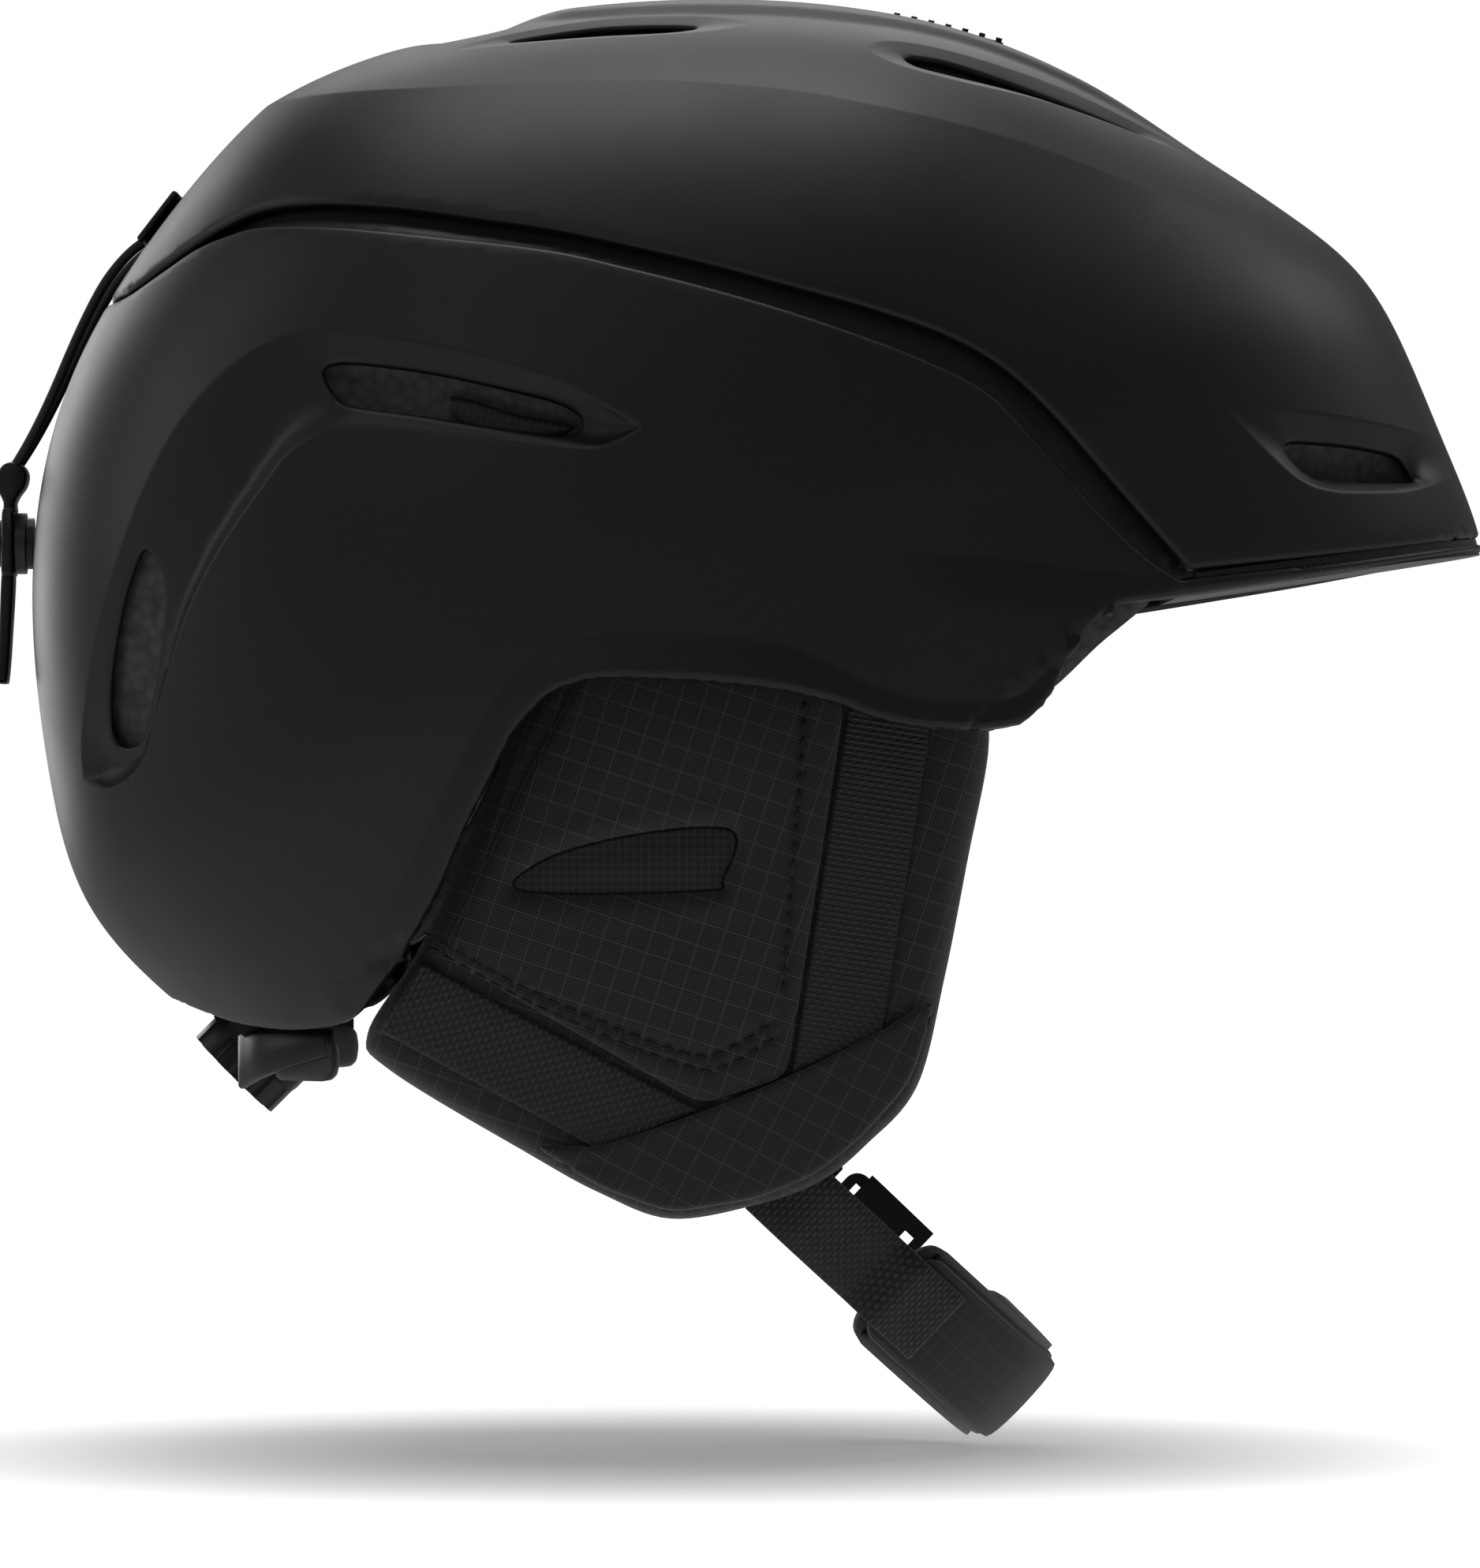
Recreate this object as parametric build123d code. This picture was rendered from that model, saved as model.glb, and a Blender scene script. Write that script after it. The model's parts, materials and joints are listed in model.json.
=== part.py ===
from build123d import *
import math
import os

import numpy as np

# A ski helmet, in millimetres. +X is the way the wearer faces, +Y their left, +Z up.
# The origin is the middle of the head opening, level with the brow band.

# ---- driving dimensions -------------------------------------------------------------------
SHELL_HALF_WIDTH = 107.0
SHELL_THICK = 2.0
SKIN_GAP = 0.1  # clearance left between pieces that lie on each other
HEAD_HALF_WIDTH = 80.0
COMFORT_THICK = 4.5
FAR = 140.0  # beyond every face of the helmet

# Side profile of the shell without its bottom: (angle from +X towards +Z, radius).
SHELL_PROFILE = [
    (-30, 168.0), (-12, 166.0), (3, 164.5), (11.3, 159.2), (18, 156.5), (24.5, 153.5), (31, 146.5),
    (39, 138.5), (48, 132.3), (58, 127.3), (72, 120.6), (86, 116.2), (99, 115.2), (112, 117.2),
    (126, 120.3), (140, 119.8), (160, 120.6), (180, 120.2), (197, 122.0), (209, 124.5),
    (220, 121.5), (235, 121.0), (255, 140.0), (280, 165.0), (305, 172.0),
]
# Side profile of the head space inside the foam.
HEAD_PROFILE = [
    (-60, 140.0), (-25, 108.0), (0, 97.0), (30, 95.0), (60, 92.5), (90, 91.0), (120, 92.5),
    (150, 95.0), (180, 97.0), (205, 104.0), (225, 109.0), (250, 130.0), (275, 148.0),
]

# Edges seen from the side, as (x, z).
UPPER_EDGE = [
    (-101, 58.1), (-93.5, 62.8), (-87.9, 66.3), (-80.8, 70.2), (-73, 73.1), (-62.1, 73.8),
    (-46.8, 72.6), (-16.9, 67.9), (12.7, 61), (42.2, 52.9), (57, 47.8), (67.4, 41.9),
    (76.2, 33.8), (86.7, 22.1), (95.7, 12.1), (103.2, 3.7),
]
GUTTER_EDGE = [
    (-97.7, 60.4 - 3), (-91.9, 63.3), (-85.5, 66.6), (-79.1, 68.8), (-72.8, 69.8), (-58.9, 69.3),
    (-39.2, 67), (-16.9, 64.1), (12.7, 56.9), (42.2, 47.6), (59.9, 40.3), (70.3, 32.2),
    (82.2, 19), (94.1, 7.3), (98.7, 4.1),
]
LOWER_EDGE = [
    (89.6, -2.8), (85.9, -4.9), (82.1, -8.8), (79.1, -13.5), (76.2, -19.4), (73.2, -23.1),
    (65, -26.1), (49.5, -25.5), (36.2, -21.4), (12.7, -17.5), (-9.3, -16.9), (-20.3, -22.5),
    (-28.5, -35.7), (-37.5, -54.9), (-45.2, -68.3), (-53.8, -79.7), (-64.1, -83.5), (-78.6, -82.7),
    (-92.5, -76.7),
]
NAPE_NOTCH_TOP, NAPE_NOTCH_HALF = -79.4, 35.0
BRIM_TIP = (163.5, 12.2)
BRIM_BASE_THICK = 3.2

# Vents: side outlines as (x, z) and crown outlines as (x, y) on the right-hand side.
SIDE_VENT = [
    (-61, 41), (-55.3, 43.4), (-37.4, 40.6), (-16.7, 35.6), (-11.2, 31.5), (-16.7, 28.8),
    (-31.4, 31.2), (-55.2, 35.2),
]
REAR_VENT = [
    (-92.8, 7.6), (-90.3, 3.3), (-91.2, -8.9), (-94, -22.2), (-97.8, -30), (-101.7, -28.9),
    (-100.4, -14.7), (-96.1, 1.7),
]
BROW_VENT = [
    (123.5, 28.5), (133, 29.1), (147, 27.4), (150.6, 23.1), (131.3, 22.2), (125, 25),
]
CROWN_REAR_VENT = [(-26, -41), (-9, -38.5), (7, -41), (10, -46), (-8, -45)]
CROWN_FRONT_VENT = [(49.6, -47.5), (60, -45.5), (88, -36), (96.5, -33.5), (76, -45), (56, -52.5)]

# Vent control: a knob on the crown and a shutter in the foam turn about one far centre.
CONTROL_CENTRE = (3.0, -118.0)
CROWN_RADIUS = 235.2  # the crown's outer face about that centre
CONTROL_TRAVEL = 2.4  # degrees, about 10 mm
POST_ANGLE, POST_HALF_ANGLE = 76.5, 0.6
SLOT_SPARE = 0.25  # degrees left at each end of the post's travel
SHUTTER_RADIUS = 218.9
SHUTTER_THICK = 1.4
SHUTTER_PLAN = [(-30, 46), (10, 50), (56, 55), (98, 39)]
POCKET_SPARE = 0.6

# Goggle strap keeper on the back.
STUD_Z = 11.0
CORD_RADIUS = 1.0
CORD_SPREAD = (13.0, 3.0)  # half distance between the strands, at the anchor and at the tab
CORD_TOP, CORD_LOW = 66.0, 19.5  # heights between which the strands close in
CORD_STANDOFF = [(66.0, 1.5), (58.0, 3.4), (31.0, 3.6)]  # height, distance from the shell
CORD_BEND = 9.0
ANCHOR_ANGLES = (145.0, 139.2)
ANCHOR_SIZE = (30.0, 12.0, 1.4)
TAB_HALF_WIDTH, TAB_TAIL_HALF_WIDTH = 6.5, 4.5
TAB_FACES = (4.1, 6.4)  # the tab's inner and outer face, measured out from the shell

# Fit system at the nape, laid out on a radial line of the head and moved along the nape.
FIT_ANGLE, FIT_RADIUS, FIT_SHIFT = 225.0, 113.5, 8.5
HOUSING = (38.0, 21.0, 7.5)  # across the head, along the nape, thickness
DIAL_RADIUS, DIAL_THICK = 10.5, 5.6
PITCH_RADIUS, PINION_TEETH = 4.5, 10
ADDENDUM, DEDENDUM = 0.65, 0.95
RACK_THICK = 3.0
ARM_RUN = [(-76.0, 31.0), (-72.5, 38), (-66.5, 45), (-59.5, 51)]  # x, y

# Ear pads lie on a face curved both ways; each layer is set by its reach in Y.
EAR_CURVE_X, EAR_CURVE_Z = 250.0, 401.0  # radii of the curve at reach EAR_DATUM
EAR_DATUM = 90.0
EAR_CENTRE_Z = -10.0
EAR_LINING = (71.5, 73.9)
EAR_FOAM = (74.0, 88.0)
EAR_WEBBING = (88.1, 89.7)
EAR_PANEL = (88.1, 91.0)
EAR_MESH = (88.1, 88.9)
EAR_CUFF = (89.8, 91.6)
EAR_PAD = [
    (58, -9), (64, -20), (65.3, -30), (61.5, -50), (57.1, -72.7), (51.9, -93.5), (42.3, -104.6),
    (33.5, -111.6), (21.6, -116), (5.2, -118.7), (-8.2, -113.8), (-21.6, -106.4), (-46, -90),
    (-49.5, -83), (-42.5, -70), (-34.5, -56), (-25.5, -37), (-20, -24), (-12, -10),
]
EAR_PANEL_OUTLINE = [
    (36, -12), (37.7, -23), (27.2, -91.3), (10.9, -96.6), (-38, -68.5), (-32, -56), (-22, -35),
    (-10, -13),
]
EAR_WINDOW = [(-22.8, -56.3), (-17.7, -50.1), (0, -45.5), (16.8, -45), (15.2, -53.8), (11.3, -56.3)]
FRONT_WEBBING = [(40, -13), (38.4, -24), (28.2, -90.6), (45.1, -82.8), (53.7, -28.7), (54, -14)]
REAR_WEBBING = [(-40.5, -70.5), (10.4, -97.6), (-8.5, -105.1), (-46, -83)]
CUFF_OUTLINE = [
    (-21.4, -104), (-8.5, -104.9), (13.1, -97.3), (27.2, -91.5), (45.1, -82.8), (55.6, -76),
    (50.6, -92.5), (41, -103.3), (32.4, -110.2), (21.6, -114.6), (5.2, -117.3), (-8.2, -112.4),
]
EAR_CLIPS = (-2.0, 44.0)  # x of the two posts that hold a pad to the foam
EAR_HINGE = (-86.0, -9.0)  # y, z on the right-hand side

# Chin strap, drawn in its own plane: u across the chin, v down and forwards from the exits.
STRAP_MIDDLE = (30.6, 0.0, -116.5)
STRAP_DOWN = (0.725, 0.0, -0.688)
WEBBING_WIDTH, WEBBING_THICK = 16.0, 1.6
CHIN_PAD_WIDTH, CHIN_PAD_OUTER, CHIN_PAD_INNER = 23.0, 2.0, 4.5
RIGHT_RUN = [
    (-65.5, 1), (-61, 10), (-52, 24), (-40, 39), (-22, 52), (0, 57), (22, 52), (38, 39), (48.3, 28),
]
LEFT_RUN = [(65.5, 1), (60.5, 3.4), (55.6, 3.6)]
PAD_SPAN = (0.17, 0.87)  # share of the right run that the padded sleeve covers
BUCKLE_FROM, BUCKLE_TO = (50.5, 26.5), (52.6, 6.0)


# ---- forms --------------------------------------------------------------------------------
class Form:
    """A rounded form: a polar side profile carried out to a half width by a superellipse."""

    def __init__(self, profile, half_width):
        self.half_width = half_width
        self.angles = np.radians([a for a, _ in profile])
        self.radii = np.array([r for _, r in profile])
        self.bends = self._bends()

    def _bends(self):
        """Second derivatives of the periodic cubic through the profile."""
        count = len(self.angles)
        gaps = np.diff(np.append(self.angles, self.angles[0] + 2 * math.pi))
        matrix, right = np.zeros((count, count)), np.zeros(count)
        for i in range(count):
            before, after = gaps[i - 1], gaps[i]
            matrix[i, i - 1] += before
            matrix[i, i] += 2 * (before + after)
            matrix[i, (i + 1) % count] += after
            rise_after = (self.radii[(i + 1) % count] - self.radii[i]) / after
            rise_before = (self.radii[i] - self.radii[i - 1]) / before
            right[i] = 6 * (rise_after - rise_before)
        return np.linalg.solve(matrix, right)

    def radius(self, angle):
        turn = 2 * math.pi
        angle = (angle - self.angles[0]) % turn + self.angles[0]
        i = int(np.searchsorted(self.angles, angle, side="right")) - 1
        j = (i + 1) % len(self.angles)
        gap = (self.angles[j] - self.angles[i]) % turn
        u = angle - self.angles[i]
        w = gap - u
        curved = (self.bends[i] * w**3 + self.bends[j] * u**3) / (6 * gap)
        return (
            curved
            + (self.radii[i] / gap - self.bends[i] * gap / 6) * w
            + (self.radii[j] / gap - self.bends[j] * gap / 6) * u
        )

    def half_width_at(self, x, z, inset):
        angle = math.atan2(z, x)
        share = min(1.0, math.hypot(x, z) / (self.radius(angle) - inset))
        power = 2.32 - 0.27 * math.exp(-((math.degrees(angle) / 35.0) ** 2))
        return (self.half_width - inset) * (1 - share**power) ** (1 / power)

    def crown_angle(self):
        """Where the profile is highest."""
        return max(np.radians(np.arange(70, 115, 0.5)), key=lambda a: self.radius(a) * math.sin(a))

    def reach(self, z, inset, facing):
        """The x where the profile crosses height z, facing +1 forwards or -1 backwards."""
        low, high = (math.radians(-75), self.crown_angle()) if facing > 0 else (
            self.crown_angle(), math.radians(258))
        for _ in range(40):
            middle = (low + high) / 2
            above = (self.radius(middle) - inset) * math.sin(middle) > z
            if above == (facing > 0):
                high = middle
            else:
                low = middle
        return float((self.radius(low) - inset) * math.cos(low))

    def solid(self, inset, z_low=-96.0):
        """The solid form, lofted through level sections and closed by a small flat crown."""
        crown = self.crown_angle()
        z_top = float((self.radius(crown) - inset) * math.sin(crown)) - 0.6
        depths = [0, 1.6, 5, 11, 19, 30, 44, 60, 78, 98, 112, 126, 145, 168, 190]
        levels = [z_top - d for d in depths if z_top - d > z_low + 8] + [z_low]
        wires = []
        for z in reversed(levels):
            back, front = self.reach(z, inset, -1), self.reach(z, inset, 1)
            ring = []
            for k in range(28):
                turn = 2 * math.pi * (k + 0.5) / 28
                x = (front + back) / 2 + (front - back) / 2 * math.cos(turn)
                y = math.copysign(self.half_width_at(x, z, inset), math.sin(turn))
                ring.append(Vector(x, y, z))
            wires.append(Wire([Edge.make_spline(ring, periodic=True)]))
        return Solid.make_loft(wires)


SHELL = Form(SHELL_PROFILE, SHELL_HALF_WIDTH)
HEAD = Form(HEAD_PROFILE, HEAD_HALF_WIDTH)


# ---- helpers ------------------------------------------------------------------------------
def outline(points, place):
    """A closed face through points, smooth all round."""
    return Face(Wire([Edge.make_spline([place(*p) for p in points], periodic=True)]))


def region(*runs):
    """A closed face in the XZ plane: each run of three or more points is a smooth curve."""
    edges = []
    for i, run in enumerate(runs):
        at = [Vector(x, 0, z) for x, z in run]
        if len(at) > 2:
            edges.append(Edge.make_spline(at))
        elif len(at) == 2:
            edges.append(Edge.make_line(at[0], at[1]))
        start = Vector(runs[(i + 1) % len(runs)][0][0], 0, runs[(i + 1) % len(runs)][0][1])
        if (at[-1] - start).length > 1e-6:
            edges.append(Edge.make_line(at[-1], start))
    return Face(Wire(edges))


def polygon(points, place):
    return Face(Wire.make_polygon([place(*p) for p in points], close=True))


def side_place(x, z):
    return Vector(x, 0, z)


def crown_place(x, y):
    return Vector(x, y, 0)


def across(face, low=-FAR, high=FAR):
    """A face in the XZ plane carried from y = low to y = high."""
    return Solid.extrude(face.moved(Location((0, low, 0))), Vector(0, high - low, 0))


def upright(face, low, high):
    return Solid.extrude(face.moved(Location((0, 0, low))), Vector(0, 0, high - low))


def both_sides(shape):
    return [shape, shape.mirror(Plane.XZ)]


def one(shape):
    """The largest solid of a result, so that no crumb is kept."""
    return max(shape.solids(), key=lambda s: s.volume)


def ring_sector(centre, inner, outer, from_deg, to_deg, half_width):
    """A band between two radii about an axis along Y, between two angles."""
    place = [
        Vector(centre[0] + r * math.cos(math.radians(a)), 0, centre[1] + r * math.sin(math.radians(a)))
        for r, a in (
            (inner, from_deg), (inner, (from_deg + to_deg) / 2), (inner, to_deg),
            (outer, to_deg), (outer, (from_deg + to_deg) / 2), (outer, from_deg),
        )
    ]
    edges = [
        Edge.make_three_point_arc(*place[:3]),
        Edge.make_line(place[2], place[3]),
        Edge.make_three_point_arc(*place[3:]),
        Edge.make_line(place[5], place[0]),
    ]
    return across(Face(Wire(edges)), -half_width, half_width)


def save(name, *solids):
    shape = solids[0] if len(solids) == 1 else Compound(children=list(solids))
    export_step(shape, f"parts/{name}.step")


# ---- shells, foam and what is fixed in them -----------------------------------------------
def vent_cutters():
    """Straight cutters for every vent, right and left."""
    cutters = []
    for points in (SIDE_VENT, REAR_VENT, BROW_VENT):
        cutters += both_sides(across(outline(points, side_place), -FAR, -30))
    for points in (CROWN_REAR_VENT, CROWN_FRONT_VENT):
        cutters += both_sides(upright(outline(points, crown_place), 70, FAR))
    return cutters


def nape_notch():
    """The shallow notch in the shell's lower edge that the fit system's arms pass through."""
    low, high = -FAR, NAPE_NOTCH_TOP
    face = polygon([(-88, low), (-68, low), (-68, high), (-88, high)], side_place)
    return across(face, -NAPE_NOTCH_HALF, NAPE_NOTCH_HALF)


def brim_line(drop):
    """The shell's edge under the brim, from its rear corner to the tip."""
    return [(UPPER_EDGE[-1][0], UPPER_EDGE[-1][1] - drop), (BRIM_TIP[0] + 6, BRIM_TIP[1] + 0.8 - drop)]


def upper_region(drop=0.0):
    edge = [(x, z - drop) for x, z in UPPER_EDGE]
    ahead = [(FAR + 40, 20), (FAR + 40, FAR)]
    return region([(-FAR, 56.0 - drop), edge[0]], edge, brim_line(drop), ahead, [(-FAR, FAR)])


def lower_region():
    return region(
        [(-FAR, GUTTER_EDGE[0][1]), GUTTER_EDGE[0]], GUTTER_EDGE, LOWER_EDGE, [(-FAR, LOWER_EDGE[-1][1] + 2)]
    )


def make_shells(vents):
    """Crown shell and side shell; the crown shell has a seat for the vent control's frame."""
    skin = SHELL.solid(0) - SHELL.solid(SHELL_THICK)
    seat = control_sector(200, 250, -15.1, 20.1, 9.1)
    upper = one(skin & across(upper_region()) - vents - [seat])
    lower = one(skin & across(lower_region()) - vents - [nape_notch()])
    return upper, lower


def make_band(vents):
    """The sunk band that joins the two shells, seen as the gutter between them."""

    def strip(reach):
        top = [(x, z + reach) for x, z in UPPER_EDGE]
        low = [(x, z - reach) for x, z in reversed(GUTTER_EDGE)]
        return across(region([(-FAR, 56.0 + reach), top[0]], top, low, [(-FAR, 55.0 - reach)]))

    layer = SHELL.solid(SHELL_THICK + SKIN_GAP) - SHELL.solid(2 * SHELL_THICK)
    groove = SHELL.solid(SHELL_THICK) - SHELL.solid(2 * SHELL_THICK + 2 * SKIN_GAP)
    return one((layer & strip(3.0)) - vents), groove & strip(3.0 + SKIN_GAP)


def make_brim_base():
    """The visor's underside: a lip that closes the brim below the shell's edge."""
    top = brim_line(0.3)
    low = [(x, z - BRIM_BASE_THICK) for x, z in reversed(brim_line(0.3))]
    ahead = polygon([(104, -FAR), (FAR + 40, -FAR), (FAR + 40, FAR), (104, FAR)], side_place)
    return one(SHELL.solid(0.8) & across(polygon([*top, *low], side_place)) & across(ahead))


def control_sector(inner, outer, from_mm, to_mm, half_width):
    """A band on the crown about the control's centre, measured back from the post in mm."""
    per_mm = math.degrees(1 / CROWN_RADIUS)
    return ring_sector(
        CONTROL_CENTRE, inner, outer, POST_ANGLE + from_mm * per_mm, POST_ANGLE + to_mm * per_mm, half_width
    )


def post_slot(inner):
    """The slot the control's post runs in."""
    reach = POST_HALF_ANGLE + SLOT_SPARE
    return ring_sector(CONTROL_CENTRE, inner, 250,
                       POST_ANGLE - reach, POST_ANGLE + reach + CONTROL_TRAVEL, 3.2)


def shutter_plate(spare, behind):
    """The shutter's plate, or with spare its pocket with room behind for the travel."""
    half = [(x - behind, y + spare) for x, y in SHUTTER_PLAN]
    if behind:
        half += [(x + spare, y + spare) for x, y in SHUTTER_PLAN[-2:]]
        half.pop(-3)
    plan = polygon([*half, *[(x, -y) for x, y in reversed(half)]], crown_place)
    inner = SHUTTER_RADIUS - SHUTTER_THICK / 2 - spare
    plate = ring_sector(CONTROL_CENTRE, inner, inner + SHUTTER_THICK + 2 * spare, 55, 110, 70)
    return plate & upright(plan, 40, FAR)


def make_liner(vents, groove):
    """The energy-absorbing foam, cut back for the ear pads and for the fit system."""
    body = SHELL.solid(SHELL_THICK + SKIN_GAP) - HEAD.solid(0, -110.0)
    edge = [(x, -4.0 if -30 < x < 70 else max(z + 1.5, -72.0)) for x, z in LOWER_EDGE]
    front = [(103.0, 3.9), (BRIM_TIP[0] + 6, 13.2), (FAR + 40, 20), (FAR + 40, FAR), (-FAR, FAR)]
    keep = across(polygon([*front, (-FAR, edge[-1][1]), *reversed(edge)], side_place))
    pocket = shutter_plate(POCKET_SPARE, 11.5)
    return one((body & keep) - vents - [groove, pocket, post_slot(SHUTTER_RADIUS)])


def make_comfort_pads():
    """Soft pads on the foam's inner face: brow band, crown cross and temple pads."""
    layer = HEAD.solid(2 * SKIN_GAP, -60.0) - HEAD.solid(COMFORT_THICK, -60.0)
    brow = layer & across(polygon([(52, 4), (FAR, 4), (FAR, 22), (52, 24)], side_place))
    front_to_back = upright(polygon([(-62, -9), (50, -9), (50, 9), (-62, 9)], crown_place), 40, FAR)
    ear_to_ear = upright(polygon([(-14, -56), (4, -56), (4, 56), (-14, 56)], crown_place), 40, FAR)
    temple = layer & across(polygon([(-34, 6), (34, 6), (30, 26), (-30, 26)], side_place), -FAR, -40)
    return one(brow), one(layer & (front_to_back + ear_to_ear)), one(temple)


def make_vent_control(vents):
    """Frame on the crown, then knob, post and shutter, which move together."""
    frame = control_sector(CROWN_RADIUS - 1.6, CROWN_RADIUS + 0.3, -15, 20, 9) - post_slot(200)
    knob = control_sector(CROWN_RADIUS + 0.6, CROWN_RADIUS + 1.3, -12, 10, 7)
    for k in range(7):
        knob += control_sector(CROWN_RADIUS + 1.2, CROWN_RADIUS + 2.1, -11.6 + 3.4 * k, -10.4 + 3.4 * k, 6)
    post = ring_sector(
        CONTROL_CENTRE, SHUTTER_RADIUS + SHUTTER_THICK / 2 + 0.05, CROWN_RADIUS + 0.55,
        POST_ANGLE - POST_HALF_ANGLE, POST_ANGLE + POST_HALF_ANGLE, 2.4,
    )
    return frame, one(knob), post, one(shutter_plate(0, 0) - vents)


def make_vent_screen():
    """Mesh inside the forward end of the right-hand side vent."""
    layer = SHELL.solid(6.0) - SHELL.solid(6.8)
    hole = outline(shrunk(SIDE_VENT, 0.97), side_place)
    front = polygon([(-36, 50), (-5, 50), (-5, 20), (-36, 20)], side_place)
    return one(layer & across(hole, -FAR, 0) & across(front, -FAR, 0))


# ---- goggle strap keeper ------------------------------------------------------------------
def shell_back(y, z):
    """The x of the shell's outer face at the back, at a given y and z."""
    low, high = SHELL.reach(z, 0, -1), 0.0
    for _ in range(40):
        middle = (low + high) / 2
        if SHELL.half_width_at(middle, z, 0) < abs(y):
            low = middle
        else:
            high = middle
    return high


def make_keeper():
    """Anchor bar and snap stud on the shell; cord, tab, snap socket and cap that swing."""
    low, high = (
        Vector(math.cos(a), 0, math.sin(a)) * float(SHELL.radius(a) + 1.3)
        for a in map(math.radians, ANCHOR_ANGLES)
    )
    up = (high - low).normalized()
    lean = Plane(origin=low, x_dir=(0, 1, 0), z_dir=(-up.Z, 0, up.X))
    anchor = lean * (Pos(0, -6.4, 0) * Box(*ANCHOR_SIZE))
    face_x = shell_back(0, STUD_Z)
    axis = Plane(origin=(face_x, 0, STUD_Z), x_dir=(0, 1, 0), z_dir=(-1, 0, 0))
    stud = axis * (Pos(0, 0, 1.2) * Cylinder(5.0, 1.3) + Pos(0, 0, 2.6) * Cylinder(2.2, 1.9))
    socket = axis * (Pos(0, 0, 3.0) * Cylinder(6.0, 2.0) - Pos(0, 0, 2.9) * Cylinder(2.8, 2.4))
    front, back = (face_x - out for out in TAB_FACES)
    cap = axis * (Pos(0, 0, 7.1) * Cylinder(4.6, 1.2))
    low, waist, top = STUD_Z - 27.5, STUD_Z - 5.5, STUD_Z + 8.5
    side = [(front, top), (back, top), (back, waist), (back - 1.2, low), (front + 0.6, low), (front, waist)]
    plate = across(polygon(side, side_place), -TAB_HALF_WIDTH, TAB_HALF_WIDTH)
    for sign in (-1, 1):
        beside = Box(9, 7, waist - low)
        plate -= Pos(face_x - 5, sign * (TAB_TAIL_HALF_WIDTH + 3.5), (low + waist) / 2 - 2) * beside
    head = Pos((front + back) / 2 - 0.2, 0, top + 3.4) * Box(4.2, 10, 7.2)
    tab = plate + head
    strands = []
    for sign in (-1, 1):
        path = cord_path(sign, Vector((front + back) / 2, sign * CORD_SPREAD[1], top + 5.0))
        strands.append(sweep_round(path, CORD_RADIUS))
        tab -= sweep_round(path, CORD_RADIUS + 0.05)
    return anchor, stud, Compound(children=strands), one(tab), socket, cap


def cord_path(sign, end):
    """One strand of the cord: straight runs off the shell, joined by tangent arcs."""
    run = []
    for z, off in CORD_STANDOFF:
        share = (z - CORD_LOW) / (CORD_TOP - CORD_LOW)
        y = CORD_SPREAD[1] + (CORD_SPREAD[0] - CORD_SPREAD[1]) * share
        run.append(Vector(shell_back(y, z) - off, sign * y, z))
    return FilletPolyline(*run, end, radius=CORD_BEND)


def sweep_round(path, radius):
    start = Plane(origin=path @ 0, z_dir=path % 0)
    return Solid.sweep(Face(Wire([Edge.make_circle(radius, start)])), path)


# ---- fit system ---------------------------------------------------------------------------
def fit_plane():
    angle = math.radians(FIT_ANGLE)
    out = (math.cos(angle), math.sin(angle))
    x = FIT_RADIUS * out[0] - FIT_SHIFT * out[1]
    z = FIT_RADIUS * out[1] + FIT_SHIFT * out[0]
    return Plane(origin=(x, 0, z), x_dir=(0, 1, 0), z_dir=(out[0], 0, out[1]))


def rack_face():
    """A rack along u with its teeth towards v = 0, above the pinion."""
    pitch = 2 * math.pi * PITCH_RADIUS / PINION_TEETH
    points = [(28.0, -8.1), (-6.5, -8.1), (-6.5, -PITCH_RADIUS - DEDENDUM)]
    k = -2
    while (k + 0.5) * pitch < 16:
        middle = (k + 0.5) * pitch
        points += [
            (middle - 0.62, -PITCH_RADIUS - DEDENDUM), (middle - 0.22, -PITCH_RADIUS + ADDENDUM),
            (middle + 0.22, -PITCH_RADIUS + ADDENDUM), (middle + 0.62, -PITCH_RADIUS - DEDENDUM),
        ]
        k += 1
    return polygon([*points, (28.0, -PITCH_RADIUS - DEDENDUM)], crown_place)


def pinion_face():
    points = []
    for k in range(PINION_TEETH):
        for radius, across_mm in (
            (PITCH_RADIUS - DEDENDUM, -0.65), (PITCH_RADIUS + ADDENDUM, -0.22),
            (PITCH_RADIUS + ADDENDUM, 0.22), (PITCH_RADIUS - DEDENDUM, 0.65),
        ):
            turn = math.radians(90) + 2 * math.pi * k / PINION_TEETH + across_mm / radius
            points.append((radius * math.cos(turn), radius * math.sin(turn)))
    return polygon(points, crown_place)


def thick(face, low, high):
    return Solid.extrude(face.moved(Location((0, 0, low))), Vector(0, 0, high - low))


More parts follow.
